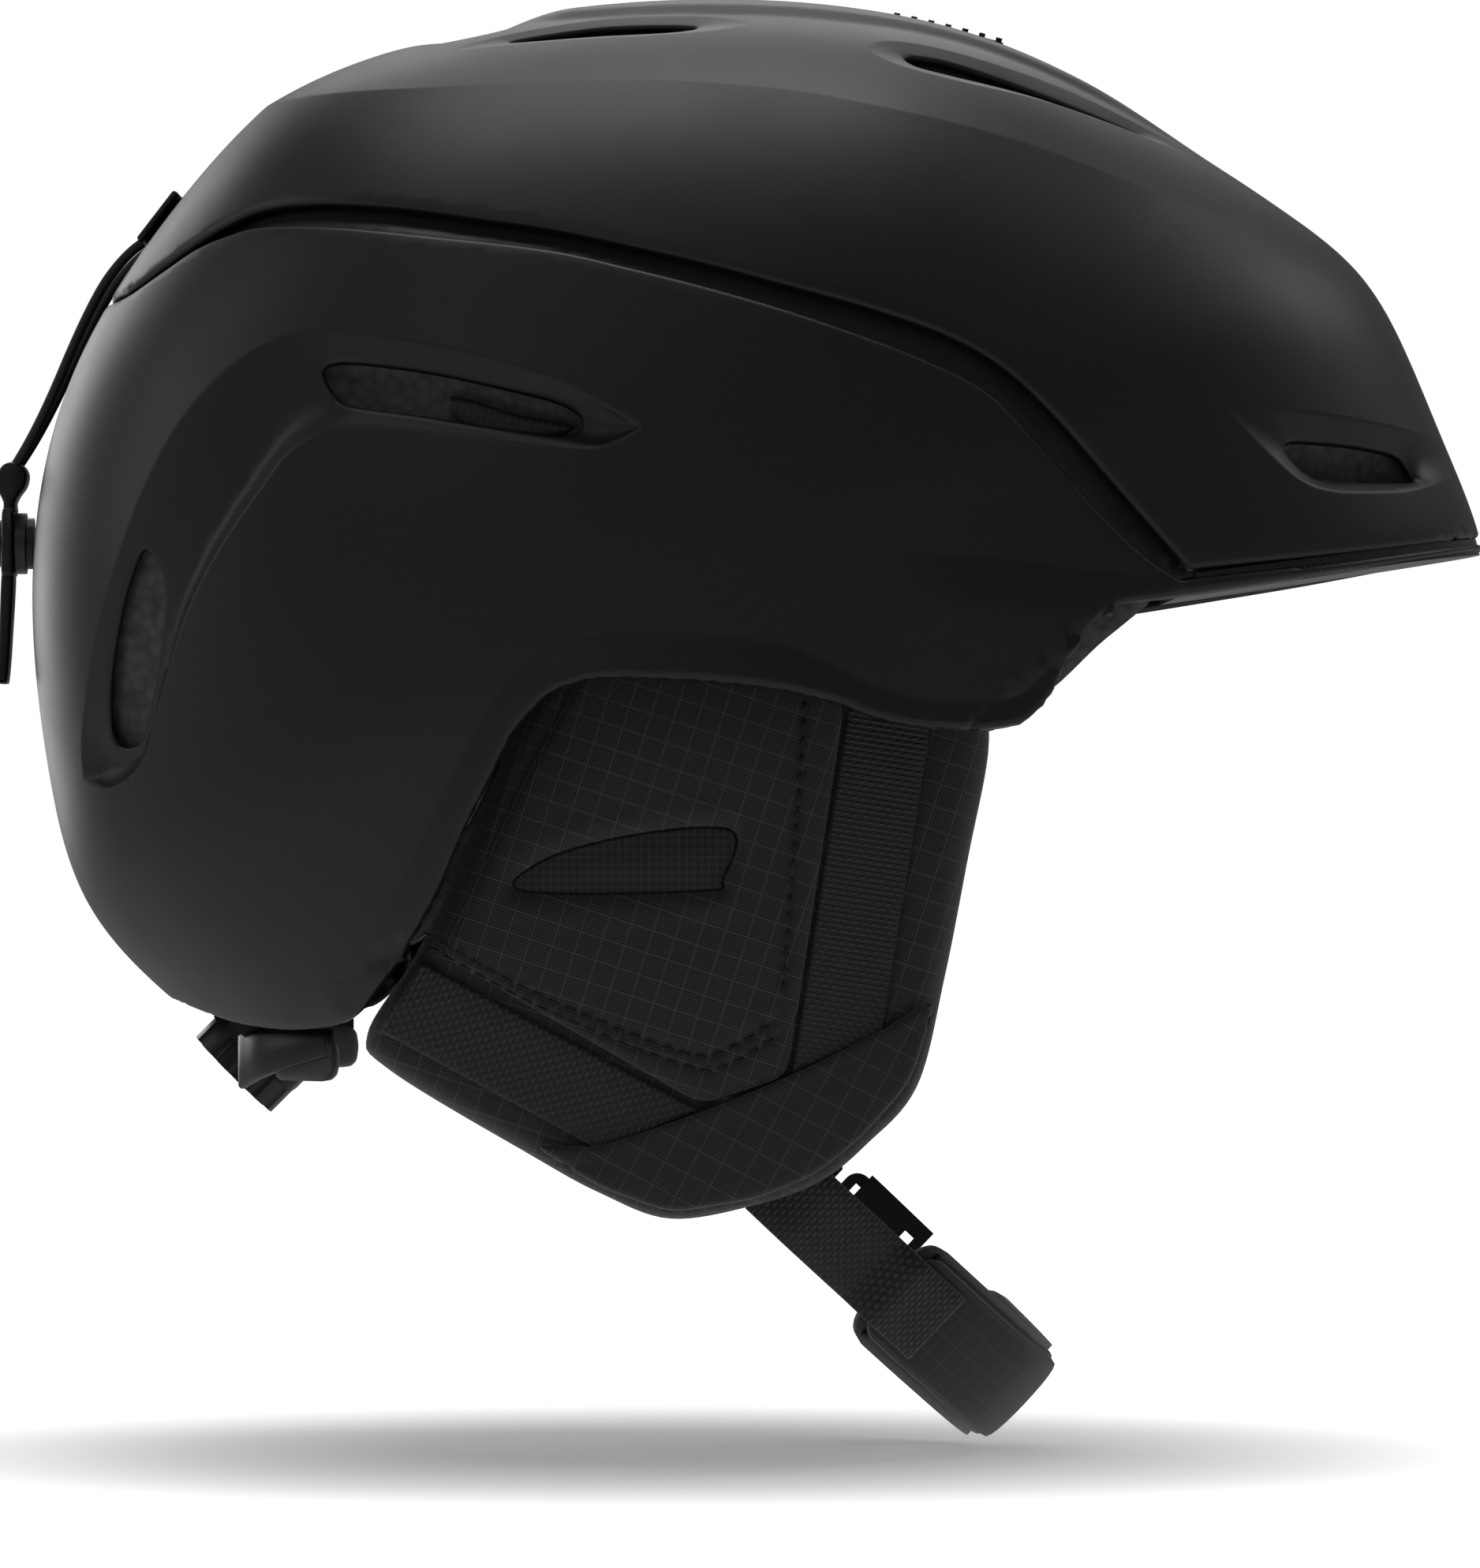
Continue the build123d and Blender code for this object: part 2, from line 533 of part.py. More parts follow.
def make_fit_system():
    place = fit_plane()
    length, height, depth = HOUSING
    hollow = Box(length + 2, 16.8, RACK_THICK + 0.6)
    housing = fillet(Box(length, height, depth).edges().filter_by(Axis.Z), 4.0) - hollow
    housing -= Pos(0, 0, depth / 2) * Cylinder(3.3, depth)
    pinion = thick(pinion_face(), -RACK_THICK / 2, RACK_THICK / 2)
    pinion = pinion + Pos(0, 0, 5.0) * Cylinder(3.0, 7.0)
    dial = Pos(0, 0, depth / 2 + 0.4 + DIAL_THICK / 2) * Cylinder(DIAL_RADIUS, DIAL_THICK)
    for k in range(12):
        dial -= Rot(0, 0, 30 * k) * Pos(DIAL_RADIUS + 0.9, 0, 8) * Cylinder(1.7, 12)
    dial -= Cylinder(3.05, 17.0)
    rack = thick(rack_face(), -RACK_THICK / 2, RACK_THICK / 2)
    rack = rack + Pos(30, -0.5, 0) * Box(4.4, 15.2, RACK_THICK)
    fork = place * rack
    band = upright(ribbon(ARM_RUN, 0.0, 2.0), -93.5, -84.5)
    pad = upright(ribbon(ARM_RUN, -3.1, -0.1, 0.35, 1.0), -93, -85)
    left = one(fork + band)
    right_rack = place * (Rot(0, 0, 180) * rack)
    right = one(right_rack + band.mirror(Plane.XZ))
    return place * housing, place * dial, place * pinion, left, right, pad


def ribbon(run, inner, outer, start=0.0, end=1.0):
    """A face between two offsets of a smooth run, offsets measured to the run's left."""
    path = Edge.make_spline([Vector(x, y) for x, y in run])
    steps = [start + (end - start) * k / 16 for k in range(17)]
    sides = []
    for offset in (inner, outer):
        side = []
        for t in steps:
            at, along = path @ t, path % t
            side.append(Vector(at.X - along.Y * offset, at.Y + along.X * offset))
        sides.append(side)
    low, high = sides
    return Face(Wire([
        Edge.make_spline(low), Edge.make_line(low[-1], high[-1]),
        Edge.make_spline(list(reversed(high))), Edge.make_line(high[0], low[0]),
    ]))


# ---- ear pads -----------------------------------------------------------------------------
def ear_layer(levels, face):
    """The part of a curved layer on the right-hand side that lies within an outline."""
    centre, wide = EAR_CURVE_X - EAR_DATUM, 80.0
    inner, outer = (
        [Vector(x, centre - math.sqrt((centre + reach) ** 2 - x * x), EAR_CENTRE_Z) for x in (-wide, 0, wide)]
        for reach in levels
    )
    section = Face(Wire([
        Edge.make_three_point_arc(*inner), Edge.make_line(inner[2], outer[2]),
        Edge.make_three_point_arc(*reversed(outer)), Edge.make_line(outer[0], inner[0]),
    ]))
    axis = Axis((0, EAR_CURVE_Z - EAR_DATUM, EAR_CENTRE_Z), (1, 0, 0))
    layer = Solid.revolve(section.rotate(axis, -4), 22, axis)
    return one(layer & across(face, -FAR, -20))


def shrunk(points, share):
    middle = [sum(p[i] for p in points) / len(points) for i in (0, 1)]
    return [tuple(m + (v - m) * share for v, m in zip(p, middle)) for p in points]


def make_ear_pad():
    """The right-hand pad, layer by layer from the skin outwards, and its two clips."""
    whole = region(EAR_PAD)
    window = across(outline(EAR_WINDOW, side_place), -FAR, 0)
    post = Pos(0, EAR_HINGE[0], -7.0) * (Cylinder(3.0, 3.6) - Cylinder(1.2, 5))
    return {
        "ear_lining": ear_layer(EAR_LINING, whole),
        "ear_foam": ear_layer(EAR_FOAM, whole),
        "ear_panel": one(ear_layer(EAR_PANEL, polygon(EAR_PANEL_OUTLINE, side_place)) - window),
        "ear_mesh": ear_layer(EAR_MESH, outline(shrunk(EAR_WINDOW, 0.985), side_place)),
        "ear_webbing_front": ear_layer(EAR_WEBBING, polygon(FRONT_WEBBING, side_place)),
        "ear_webbing_rear": ear_layer(EAR_WEBBING, polygon(REAR_WEBBING, side_place)),
        "ear_cuff": ear_layer(EAR_CUFF, polygon(CUFF_OUTLINE, side_place)),
        "ear_clips": [Pos(x, 0, 0) * post for x in EAR_CLIPS],
    }


# ---- chin strap ---------------------------------------------------------------------------
def strap_plane():
    return Plane(origin=STRAP_MIDDLE, x_dir=(0, 1, 0), z_dir=(STRAP_DOWN[2], 0, -STRAP_DOWN[0]))


def strap_piece(face, width):
    return strap_plane() * thick(face, -width / 2, width / 2)


def buckle_plane():
    """On the buckle's axis: x towards the left exit, y outwards, z across the strap."""
    loop = strap_plane()
    start, end = (loop.from_local_coords(Vector(*p)) for p in (BUCKLE_FROM, BUCKLE_TO))
    return Plane(origin=start, x_dir=(end - start).normalized(), z_dir=loop.z_dir)


def sleeve(inner, outer):
    return ribbon(RIGHT_RUN, inner, outer, *PAD_SPAN)


def make_chin_strap():
    """Right webbing with its padded sleeve and the buckle's base, left webbing with its cap."""
    half = WEBBING_THICK / 2
    at = buckle_plane()
    length = (Vector(*BUCKLE_TO) - Vector(*BUCKLE_FROM)).length
    low = (Align.MIN, Align.CENTER, Align.CENTER)
    base = Pos(0, -1.6, 0) * Box(17, 1.6, 22, align=low)
    base += Pos(14.5, -1.2, 0) * Box(2.5, 2.0, 14, align=low)
    base -= Pos(2.2, -1.6, 0) * Box(2.4, 4, 15, align=low)
    cap = Pos(5, 1.0, 0) * Box(length - 5, 2.2, 20, align=low)
    cap = fillet(cap.edges().filter_by(Axis.Y), 3.0)
    cap -= Pos(length - 4.5, 1.0, 0) * Box(2.4, 4, 15, align=low)
    cap -= Pos(length - 9.0, 1.0, 6.0) * Rot(90, 0, 0) * Cylinder(2.0, 4)
    return {
        "chin_webbing_right": strap_piece(ribbon(RIGHT_RUN, -half, half), WEBBING_WIDTH),
        "chin_pad_cover": strap_piece(sleeve(half + 0.1, half + CHIN_PAD_OUTER), CHIN_PAD_WIDTH),
        "chin_pad_fleece": strap_piece(sleeve(-half - CHIN_PAD_INNER, -half - 0.1), CHIN_PAD_WIDTH),
        "buckle_base": at * base,
        "chin_webbing_left": strap_piece(ribbon(LEFT_RUN, -half, half), WEBBING_WIDTH),
        "buckle_cap": at * cap,
    }


os.makedirs("parts", exist_ok=True)
vents = vent_cutters()
upper_shell, lower_shell = make_shells(vents)
channel_band, groove = make_band(vents)
brow_pad, crown_pad, temple_pad = make_comfort_pads()
slider_frame, slider_knob, slider_post, vent_shutter = make_vent_control(vents)
screen = make_vent_screen()
keeper = make_keeper()
fit = make_fit_system()

save("upper_shell", upper_shell)
save("lower_shell", lower_shell)
save("channel_band", channel_band)
save("brim_base", make_brim_base())
save("foam_liner", make_liner(vents, groove))
save("vent_screens", *both_sides(screen))
save("brow_pad", brow_pad)
save("crown_pad", crown_pad)
save("temple_pads", *both_sides(temple_pad))
save("slider_frame", slider_frame)
save("slider_knob", slider_knob)
save("slider_post", slider_post)
save("vent_shutter", vent_shutter)
for name, solid in zip(("anchor", "stud", "cord", "tab", "socket", "cap"), keeper):
    save(f"keeper_{name}", solid)
for name, solid in zip(("housing", "dial", "pinion", "arm_left", "arm_right", "pad_left"), fit):
    save(f"fit_{name}", solid)
save("fit_pad_right", fit[-1].mirror(Plane.XZ))
for name, piece in make_ear_pad().items():
    solids = piece if isinstance(piece, list) else [piece]
    save(f"{name}_right", *solids)
    save(f"{name}_left", *[solid.mirror(Plane.XZ) for solid in solids])
for name, solid in make_chin_strap().items():
    save(name, solid)
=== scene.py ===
# A ski helmet's looks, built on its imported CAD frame. Lengths are millimetres until a mesh is made.
import itertools
import json
import math

import bmesh
import bpy
import numpy as np
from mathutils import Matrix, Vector, geometry, kdtree


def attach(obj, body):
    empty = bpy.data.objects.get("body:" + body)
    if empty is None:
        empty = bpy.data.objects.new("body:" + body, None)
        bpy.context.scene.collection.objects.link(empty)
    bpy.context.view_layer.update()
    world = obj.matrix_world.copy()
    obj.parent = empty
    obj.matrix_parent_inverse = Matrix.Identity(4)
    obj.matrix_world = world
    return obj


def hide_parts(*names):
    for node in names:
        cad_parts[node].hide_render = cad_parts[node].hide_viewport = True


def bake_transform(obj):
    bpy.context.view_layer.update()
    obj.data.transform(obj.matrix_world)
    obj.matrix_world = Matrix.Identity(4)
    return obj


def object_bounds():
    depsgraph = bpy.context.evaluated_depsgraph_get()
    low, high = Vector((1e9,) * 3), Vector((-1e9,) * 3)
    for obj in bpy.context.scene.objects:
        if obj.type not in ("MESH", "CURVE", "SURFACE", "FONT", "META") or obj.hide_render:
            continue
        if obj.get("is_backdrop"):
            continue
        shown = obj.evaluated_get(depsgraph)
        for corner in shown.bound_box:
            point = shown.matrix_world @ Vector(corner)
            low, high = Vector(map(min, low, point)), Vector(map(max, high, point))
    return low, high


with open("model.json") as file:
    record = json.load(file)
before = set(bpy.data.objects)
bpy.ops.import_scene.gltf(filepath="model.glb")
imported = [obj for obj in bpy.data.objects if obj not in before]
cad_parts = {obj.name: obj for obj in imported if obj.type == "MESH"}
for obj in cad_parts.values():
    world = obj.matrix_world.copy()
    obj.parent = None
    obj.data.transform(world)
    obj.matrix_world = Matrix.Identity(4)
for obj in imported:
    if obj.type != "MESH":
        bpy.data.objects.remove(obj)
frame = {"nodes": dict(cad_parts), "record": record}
cad_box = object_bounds()
MM = 0.001

# ---- driving sizes -------------------------------------------------------------------------
# They are the CAD model's, apart from the rear vent, the ear pads' rear edge and the nape arms.
SHELL_HALF_WIDTH = 107.0
SHELL_THICK = 2.0
SHELL_PROFILE = [  # (angle from +X towards +Z, radius)
    (-30, 168.0), (-12, 166.0), (3, 164.5), (11.3, 159.2), (18, 156.5), (24.5, 153.5), (31, 146.5),
    (39, 138.5), (48, 132.3), (58, 127.3), (72, 120.6), (86, 116.2), (99, 115.2), (112, 117.2),
    (126, 120.3), (140, 119.8), (160, 120.6), (180, 120.2), (197, 122.0), (209, 124.5),
    (220, 121.5), (235, 121.0), (255, 140.0), (280, 165.0), (305, 172.0),
]
EDGE_ROUND = 1.3  # radius of the shells' rolled edges
VENT_ROUND = 0.7
RECESS_DEPTH_REAR, RECESS_DEPTH_SIDE = 4.4, 2.9
FOAM_DEPTH = 2.9  # the foam's outer face, under the shell's outer face
RIM = math.pi / 2  # radius of the unwrapped half shell, at the helmet's plane of symmetry
NEAR_RIM = RIM - 1e-3
MESH_STEP = 0.018  # grid step on the unwrapped half shell, about 2.2 mm

# Lines on the right-hand side, seen square on, as (x, z).
UPPER_EDGE = [
    (-105.4, 58.0), (-101.5, 58.5), (-97.6, 60.3), (-93.5, 62.8), (-87.9, 66.3), (-80.8, 70.2),
    (-73, 73.1), (-62.1, 73.8), (-46.8, 72.6), (-31.8, 70.3), (-16.9, 67.9), (-2.1, 64.6),
    (12.7, 61), (27.4, 57), (42.2, 52.9), (57, 47.8), (67.4, 41.9), (76.2, 33.8), (86.7, 22.1),
    (95.7, 12.1), (103.2, 3.9),
]
GUTTER_EDGE = [
    (-105.8, 57.2), (-101.5, 57.6), (-97.6, 59.2), (-91.9, 62.6), (-85.5, 66.4), (-79.1, 68.6),
    (-72.8, 69.8), (-58.9, 69.3), (-39.2, 67), (-16.9, 64.1), (-2.1, 60.7), (12.7, 56.9),
    (27.4, 52.6), (42.2, 47.6), (51, 44.3), (59.9, 40.3), (65.8, 36.7), (70.3, 32.2),
    (76.2, 25.8), (82.2, 19), (89.6, 11.4), (94.1, 7.3), (98.7, 4.1),
]
BRIM_EDGE = [(103.2, 3.9), (117, 5.5), (132.6, 7.4), (148.8, 9.6), (163.9, 12.0)]
LIP_TOP = [(98.7, 4.1), (101.2, 2.5), (104, 2.9), (117, 4.4), (132.6, 6.3), (148.8, 8.6), (163.9, 11.1)]
LIP_LOW = [(163.6, 9.4), (148.8, 6.7), (132.6, 3.8), (117, 1.3), (101.7, -1.1), (94.5, -2.0), (89.6, -2.8)]
LOWER_EDGE = [
    (89.6, -2.8), (85.9, -4.9), (82.1, -8.8), (79.1, -13.5), (76.2, -19.4), (73.2, -23.1),
    (70.2, -25.1), (65, -26.1), (56.9, -26.1), (49.5, -25.5), (42.1, -23.6), (36.2, -21.4),
    (24.5, -18.8), (12.7, -17.5), (1, -16.8), (-9.3, -16.9), (-16.6, -19.2), (-20.3, -22.5),
    (-24, -26.9), (-28.5, -35.7), (-33, -44.5), (-37.5, -54.9), (-40.6, -60.8), (-45.2, -68.3),
    (-50.7, -76.2), (-53.8, -79.7), (-57.8, -82.1), (-64.1, -83.5), (-70.5, -83.7), (-78.6, -82.7),
    (-86.8, -80.2), (-92.6, -78.3),
]
LIP_BEND = [
    (-57, -73.5), (-50, -64), (-42, -48), (-33, -30), (-24, -16), (-12, -9.5), (5, -8.4), (24.5, -10.2),
    (33.3, -13.0), (40.6, -17.0), (49.5, -20.0), (56.9, -21.0), (67.2, -20.6), (71.7, -18.8), (76.2, -14.0),
]
PORT_BEND = [(52, 6.5), (65, 6.0), (80, 4.2), (94.5, 2.8)]
CREASE = [
    (-76, 94.8), (-58.6, 95.3), (-40, 95.5), (-25, 96.1), (-10, 96.5), (5, 96.4), (27.6, 94.5),
    (42.5, 91.8), (57.5, 88.6), (72.6, 84.6), (87.8, 79.3), (103, 74.2), (118.8, 70.6), (131, 68.5),
]
RECESS_OUTER = [
    (-107.4, -35.2), (-107.8, -29.6), (-107, -22.1), (-104.3, -7.1), (-99.7, 7.7), (-94.2, 21.1),
    (-87.3, 32.9), (-78.1, 42.5), (-69, 47.5), (-60, 49.0), (-46.4, 47.3), (-30, 43.9), (-14, 38.5),
    (0.2, 30.4),
]
RECESS_INNER = [
    (0.2, 30.4), (-5, 27.4), (-10.8, 26), (-25.5, 27.5), (-43.3, 29.8), (-51, 30.6), (-57.5, 30.4),
    (-65.7, 26.4), (-71.7, 19.1), (-80, 7.3), (-86.2, -4.5), (-91, -19.3), (-94.3, -30.4),
    (-97.6, -34.9), (-102.6, -37.2), (-107.4, -35.2),
]
SIDE_VENT = [
    (-61.3, 42.0), (-59.5, 43.3), (-55.3, 43.4), (-46.3, 42.2), (-37.4, 40.6), (-25.5, 37.9),
    (-16.7, 35.6), (-12.3, 33.4), (-11.2, 31.5), (-12.3, 29.9), (-16.7, 29.0), (-24, 29.9),
    (-31.4, 31.2), (-43.3, 33.3), (-55.2, 35.2), (-59, 37.7),
]
REAR_VENT = [  # about 3 mm further back than the CAD's, as in the photo
    (-96.0, 8.0), (-94.4, 6.6), (-93.3, 3.3), (-93.1, -1.4), (-94.2, -8.9), (-95.5, -16.3),
    (-97, -22.2), (-98.5, -27.4), (-100.2, -29.4), (-102.4, -29.6), (-103.7, -28), (-103.6, -23.7),
    (-102.6, -14.7), (-100.8, -5.8), (-98.7, 1.7),
]
BROW_VENT = [
    (123.7, 28.2), (125.1, 29.1), (133, 29.1), (141.2, 28.5), (147, 27.4), (149.3, 25.2),
    (150.2, 23.3), (147.6, 22.7), (139, 22.4), (131.3, 22.4), (127.3, 23.8), (124.4, 26.5),
]
BROW_RECESS = [
    (111.1, 34.2), (112.7, 35.3), (123.6, 34.7), (136.4, 33.5), (147, 31.9), (155.6, 30.0), (157.0, 24.4),
    (148, 20.6), (139.2, 19.6), (131.2, 19.6), (124.9, 21.5), (117.2, 27.7),
]
# Lines on the crown, seen from above, as (x, y), y counted outwards.
CROWN_REAR_VENT = [(-26, 40.6), (-9, 38.5), (7, 41), (9.6, 43.5), (4, 45.6), (-8, 45)]
CROWN_REAR_RECESS = [
    (-37, 40.5), (-24, 36.5), (-6, 34.0), (12, 37.0), (20, 42.5), (8, 48.6), (-10, 48.2), (-26, 45),
]
CROWN_FRONT_VENT = [
    (50.2, 48.5), (53, 46.4), (62, 44.4), (88, 36), (95.5, 33.6), (76, 44.2), (58, 51.0), (52, 51.2),
]
CROWN_FRONT_RECESS = [
    (43, 50.0), (47, 43.5), (60, 40.0), (84, 31.5), (108.3, 22.5), (98, 33.5), (78, 46.0), (60, 54.2),
    (48, 54.6),
]
SPINE_SIDE = [(-30, 22), (-10, 29), (15, 32), (40, 31), (70, 26), (95, 19), (112, 12)]

HEAD_HALF_WIDTH = 80.0
HEAD_PROFILE = [
    (-60, 140.0), (-25, 108.0), (0, 97.0), (30, 95.0), (60, 92.5), (90, 91.0), (120, 92.5),
    (150, 95.0), (180, 97.0), (205, 104.0), (225, 109.0), (250, 130.0), (275, 148.0),
]

EAR_CURVE_X, EAR_CURVE_Z = 250.0, 401.0
EAR_DATUM = 90.0
EAR_CENTRE_Z = -10.0
EAR_PAD = [
    (58, -9), (64, -20), (65.3, -30), (61.5, -50), (57.1, -72.7), (51.9, -93.5), (42.3, -104.6),
    (33.5, -111.6), (21.6, -116), (5.2, -118.7), (-8.2, -113.8), (-21.6, -106.4), (-48, -90.5),
    (-52.3, -83.5), (-43.6, -69.5), (-36.5, -55.5), (-28.5, -36.5), (-23, -23.5), (-14, -10),
]
EAR_PANEL_OUTLINE = [
    (36, -12), (37.7, -23), (27.2, -91.3), (10.9, -96.6), (-38, -68.5), (-32, -56), (-22, -35),
    (-10, -13),
]
EAR_WINDOW = [(-22.8, -56.3), (-17.7, -50.1), (0, -45.5), (16.8, -45), (15.2, -53.8), (11.3, -56.3)]
FRONT_WEBBING = [(40, -13), (38.4, -24), (28.2, -90.6), (45.1, -82.8), (53.7, -28.7), (54, -14)]
REAR_WEBBING = [(-42.0, -69.7), (10.4, -97.6), (-8.5, -105.1), (-49.5, -83)]
CUFF_OUTLINE = [
    (-21.4, -104), (-8.5, -104.9), (13.1, -97.3), (27.2, -91.5), (45.1, -82.8), (55.6, -76),
    (50.6, -92.5), (41, -103.3), (32.4, -110.2), (21.6, -114.6), (5.2, -117.3), (-8.2, -112.4),
]
SIDE_SEAM = [(30.2, -14), (30.5, -20.9), (28.4, -50), (26, -78.7)]
LOW_SEAM = [(-41.0, -64.2), (-20, -75.6), (7.5, -86.8), (16, -86.2), (25.2, -80.6)]
CUFF_HEM = [(-20, -103.2), (-8.5, -104.9), (13.1, -97.3), (27.2, -91.5), (45.1, -82.8), (55, -76.5)]

STRAP_MIDDLE = (30.6, 0.0, -116.5)
STRAP_DOWN = (0.725, 0.0, -0.688)
WEBBING_WIDTH, WEBBING_THICK = 16.0, 1.6
CHIN_PAD_WIDTH = 23.0
RIGHT_RUN = [
    (-65.5, 1), (-61, 10), (-52, 24), (-40, 39), (-22, 52), (0, 57), (22, 52), (38, 39), (48.3, 28),
]
LEFT_RUN = [(65.5, 1), (60.5, 3.4), (55.6, 3.6)]
PAD_SPAN = (0.17, 0.87)

STRAP_ROOT = 9.0  # how far the webbing goes on up inside the ear pad
TAB_HEAD = [
    (-126.0, 17.0), (-126.1, 19.0), (-127.1, 21.4), (-127.3, 23.8), (-126.5, 26.0), (-124.6, 26.9),
    (-122.5, 26.3), (-121.5, 24.5), (-121.9, 22.2), (-123.2, 20.3), (-123.9, 18.8), (-123.9, 17.0),
]
TAB_BLOCK = [
    (-126.4, 5.4), (-126.4, 11.0), (-126.3, 16.8), (-125.8, 17.8), (-124.4, 17.9), (-123.9, 17.0),
    (-123.9, 11.0), (-123.9, 5.4), (-124.6, 4.6), (-125.8, 4.6),
]
TAB_TAIL = [
    (-127.3, -15.6), (-127.0, -8.0), (-126.3, 6.5), (-124.2, 6.5), (-124.8, -8.0), (-125.4, -15.6),
    (-125.8, -16.5), (-126.9, -16.5),
]
CORD_RADIUS = 1.0
CORD_ROUTE = [  # the left strand; the right one is its mirror image
    (-98.2, 13.0, 69.4), (-101.6, 13.0, 67.2), (-108.3, 11.3, 58.0), (-120.1, 5.5, 31.0),
    (-125.05, 3.0, 24.5),
]
FIT_ARM_RUN = [(-76.0, 31.0), (-72.5, 38), (-66.5, 45), (-59.5, 51)]  # x, y
FIT_WING_RUN = [(-77.0, 27.9), (-75.8, 31), (-72.5, 38), (-66.5, 45), (-59.5, 51)]
FIT_CENTRE = (-74.25, 0.0, -86.27)  # the dial's middle, on the racks' plane
RACK_BARS = [((-6.5, 28.0), (-8.1, -5.4)), ((27.8, 32.2), (-8.1, 7.1))]  # across the head, along the nape
RACK_HALF = 1.5
RACK_SLOPE = math.sqrt(0.5)  # the cradle leans by 45 degrees
BOX_QUADS = [(0, 1, 3, 2), (4, 6, 7, 5), (0, 4, 5, 1), (2, 3, 7, 6), (0, 2, 6, 4), (1, 5, 7, 3)]
FIT_PAD_Z = -89.0
ROUNDED = {"keeper_anchor": 0.5, "keeper_cap": 0.3}  # CAD node and the width of its edges' rounding
SHARP_ANGLE, SHADING_ANGLE = math.radians(35), math.radians(40)

# Reaches of the ear pad's layers from its curve's datum, inner and outer.
LINING_REACH = (71.7, 73.9)
COVER_REACH = (74.1, 87.9)
PANEL_REACH = (88.1, 90.3)
NET_REACH = (88.0, 88.6)
STRAP_REACH = (88.1, 89.75)
CUFF_REACH = (89.8, 91.3)
STITCH_REACH = 91.15

FLOOR_HEIGHT = -0.1665
FLOOR_SIDES = 48
FLOOR_RADIUS = 9000
SHADOW_RADIUS, SHADOW_FADE = 172.0, 80.0  # the floor glows fully beyond their sum
LIGHTS = [  # name, place, target, size and power of each area light, in metres and watts
    ("top", (0.0, 0.25, 1.2), (0, 0, 0), (0.8, 0.6), 6),
    ("back_top", (0.0, 1.05, 0.75), (0, 0, 0), (0.9, 0.4), 2.6),
    ("rear_strip", (-0.62, 1.0, 0.2), (0, 0, 0), (0.35, 0.7), 3.0),
    ("rear_fill", (-1.0, 0.05, 0.35), (0, 0, 0), (0.4, 0.7), 1.2),
    ("front_strip", (1.0, 0.5, 0.8), (0.05, 0, 0), (0.5, 0.6), 1.9),
    ("key", (-0.6, -1.2, 0.9), (0, 0, 0), (0.9, 0.9), 1.5),
]


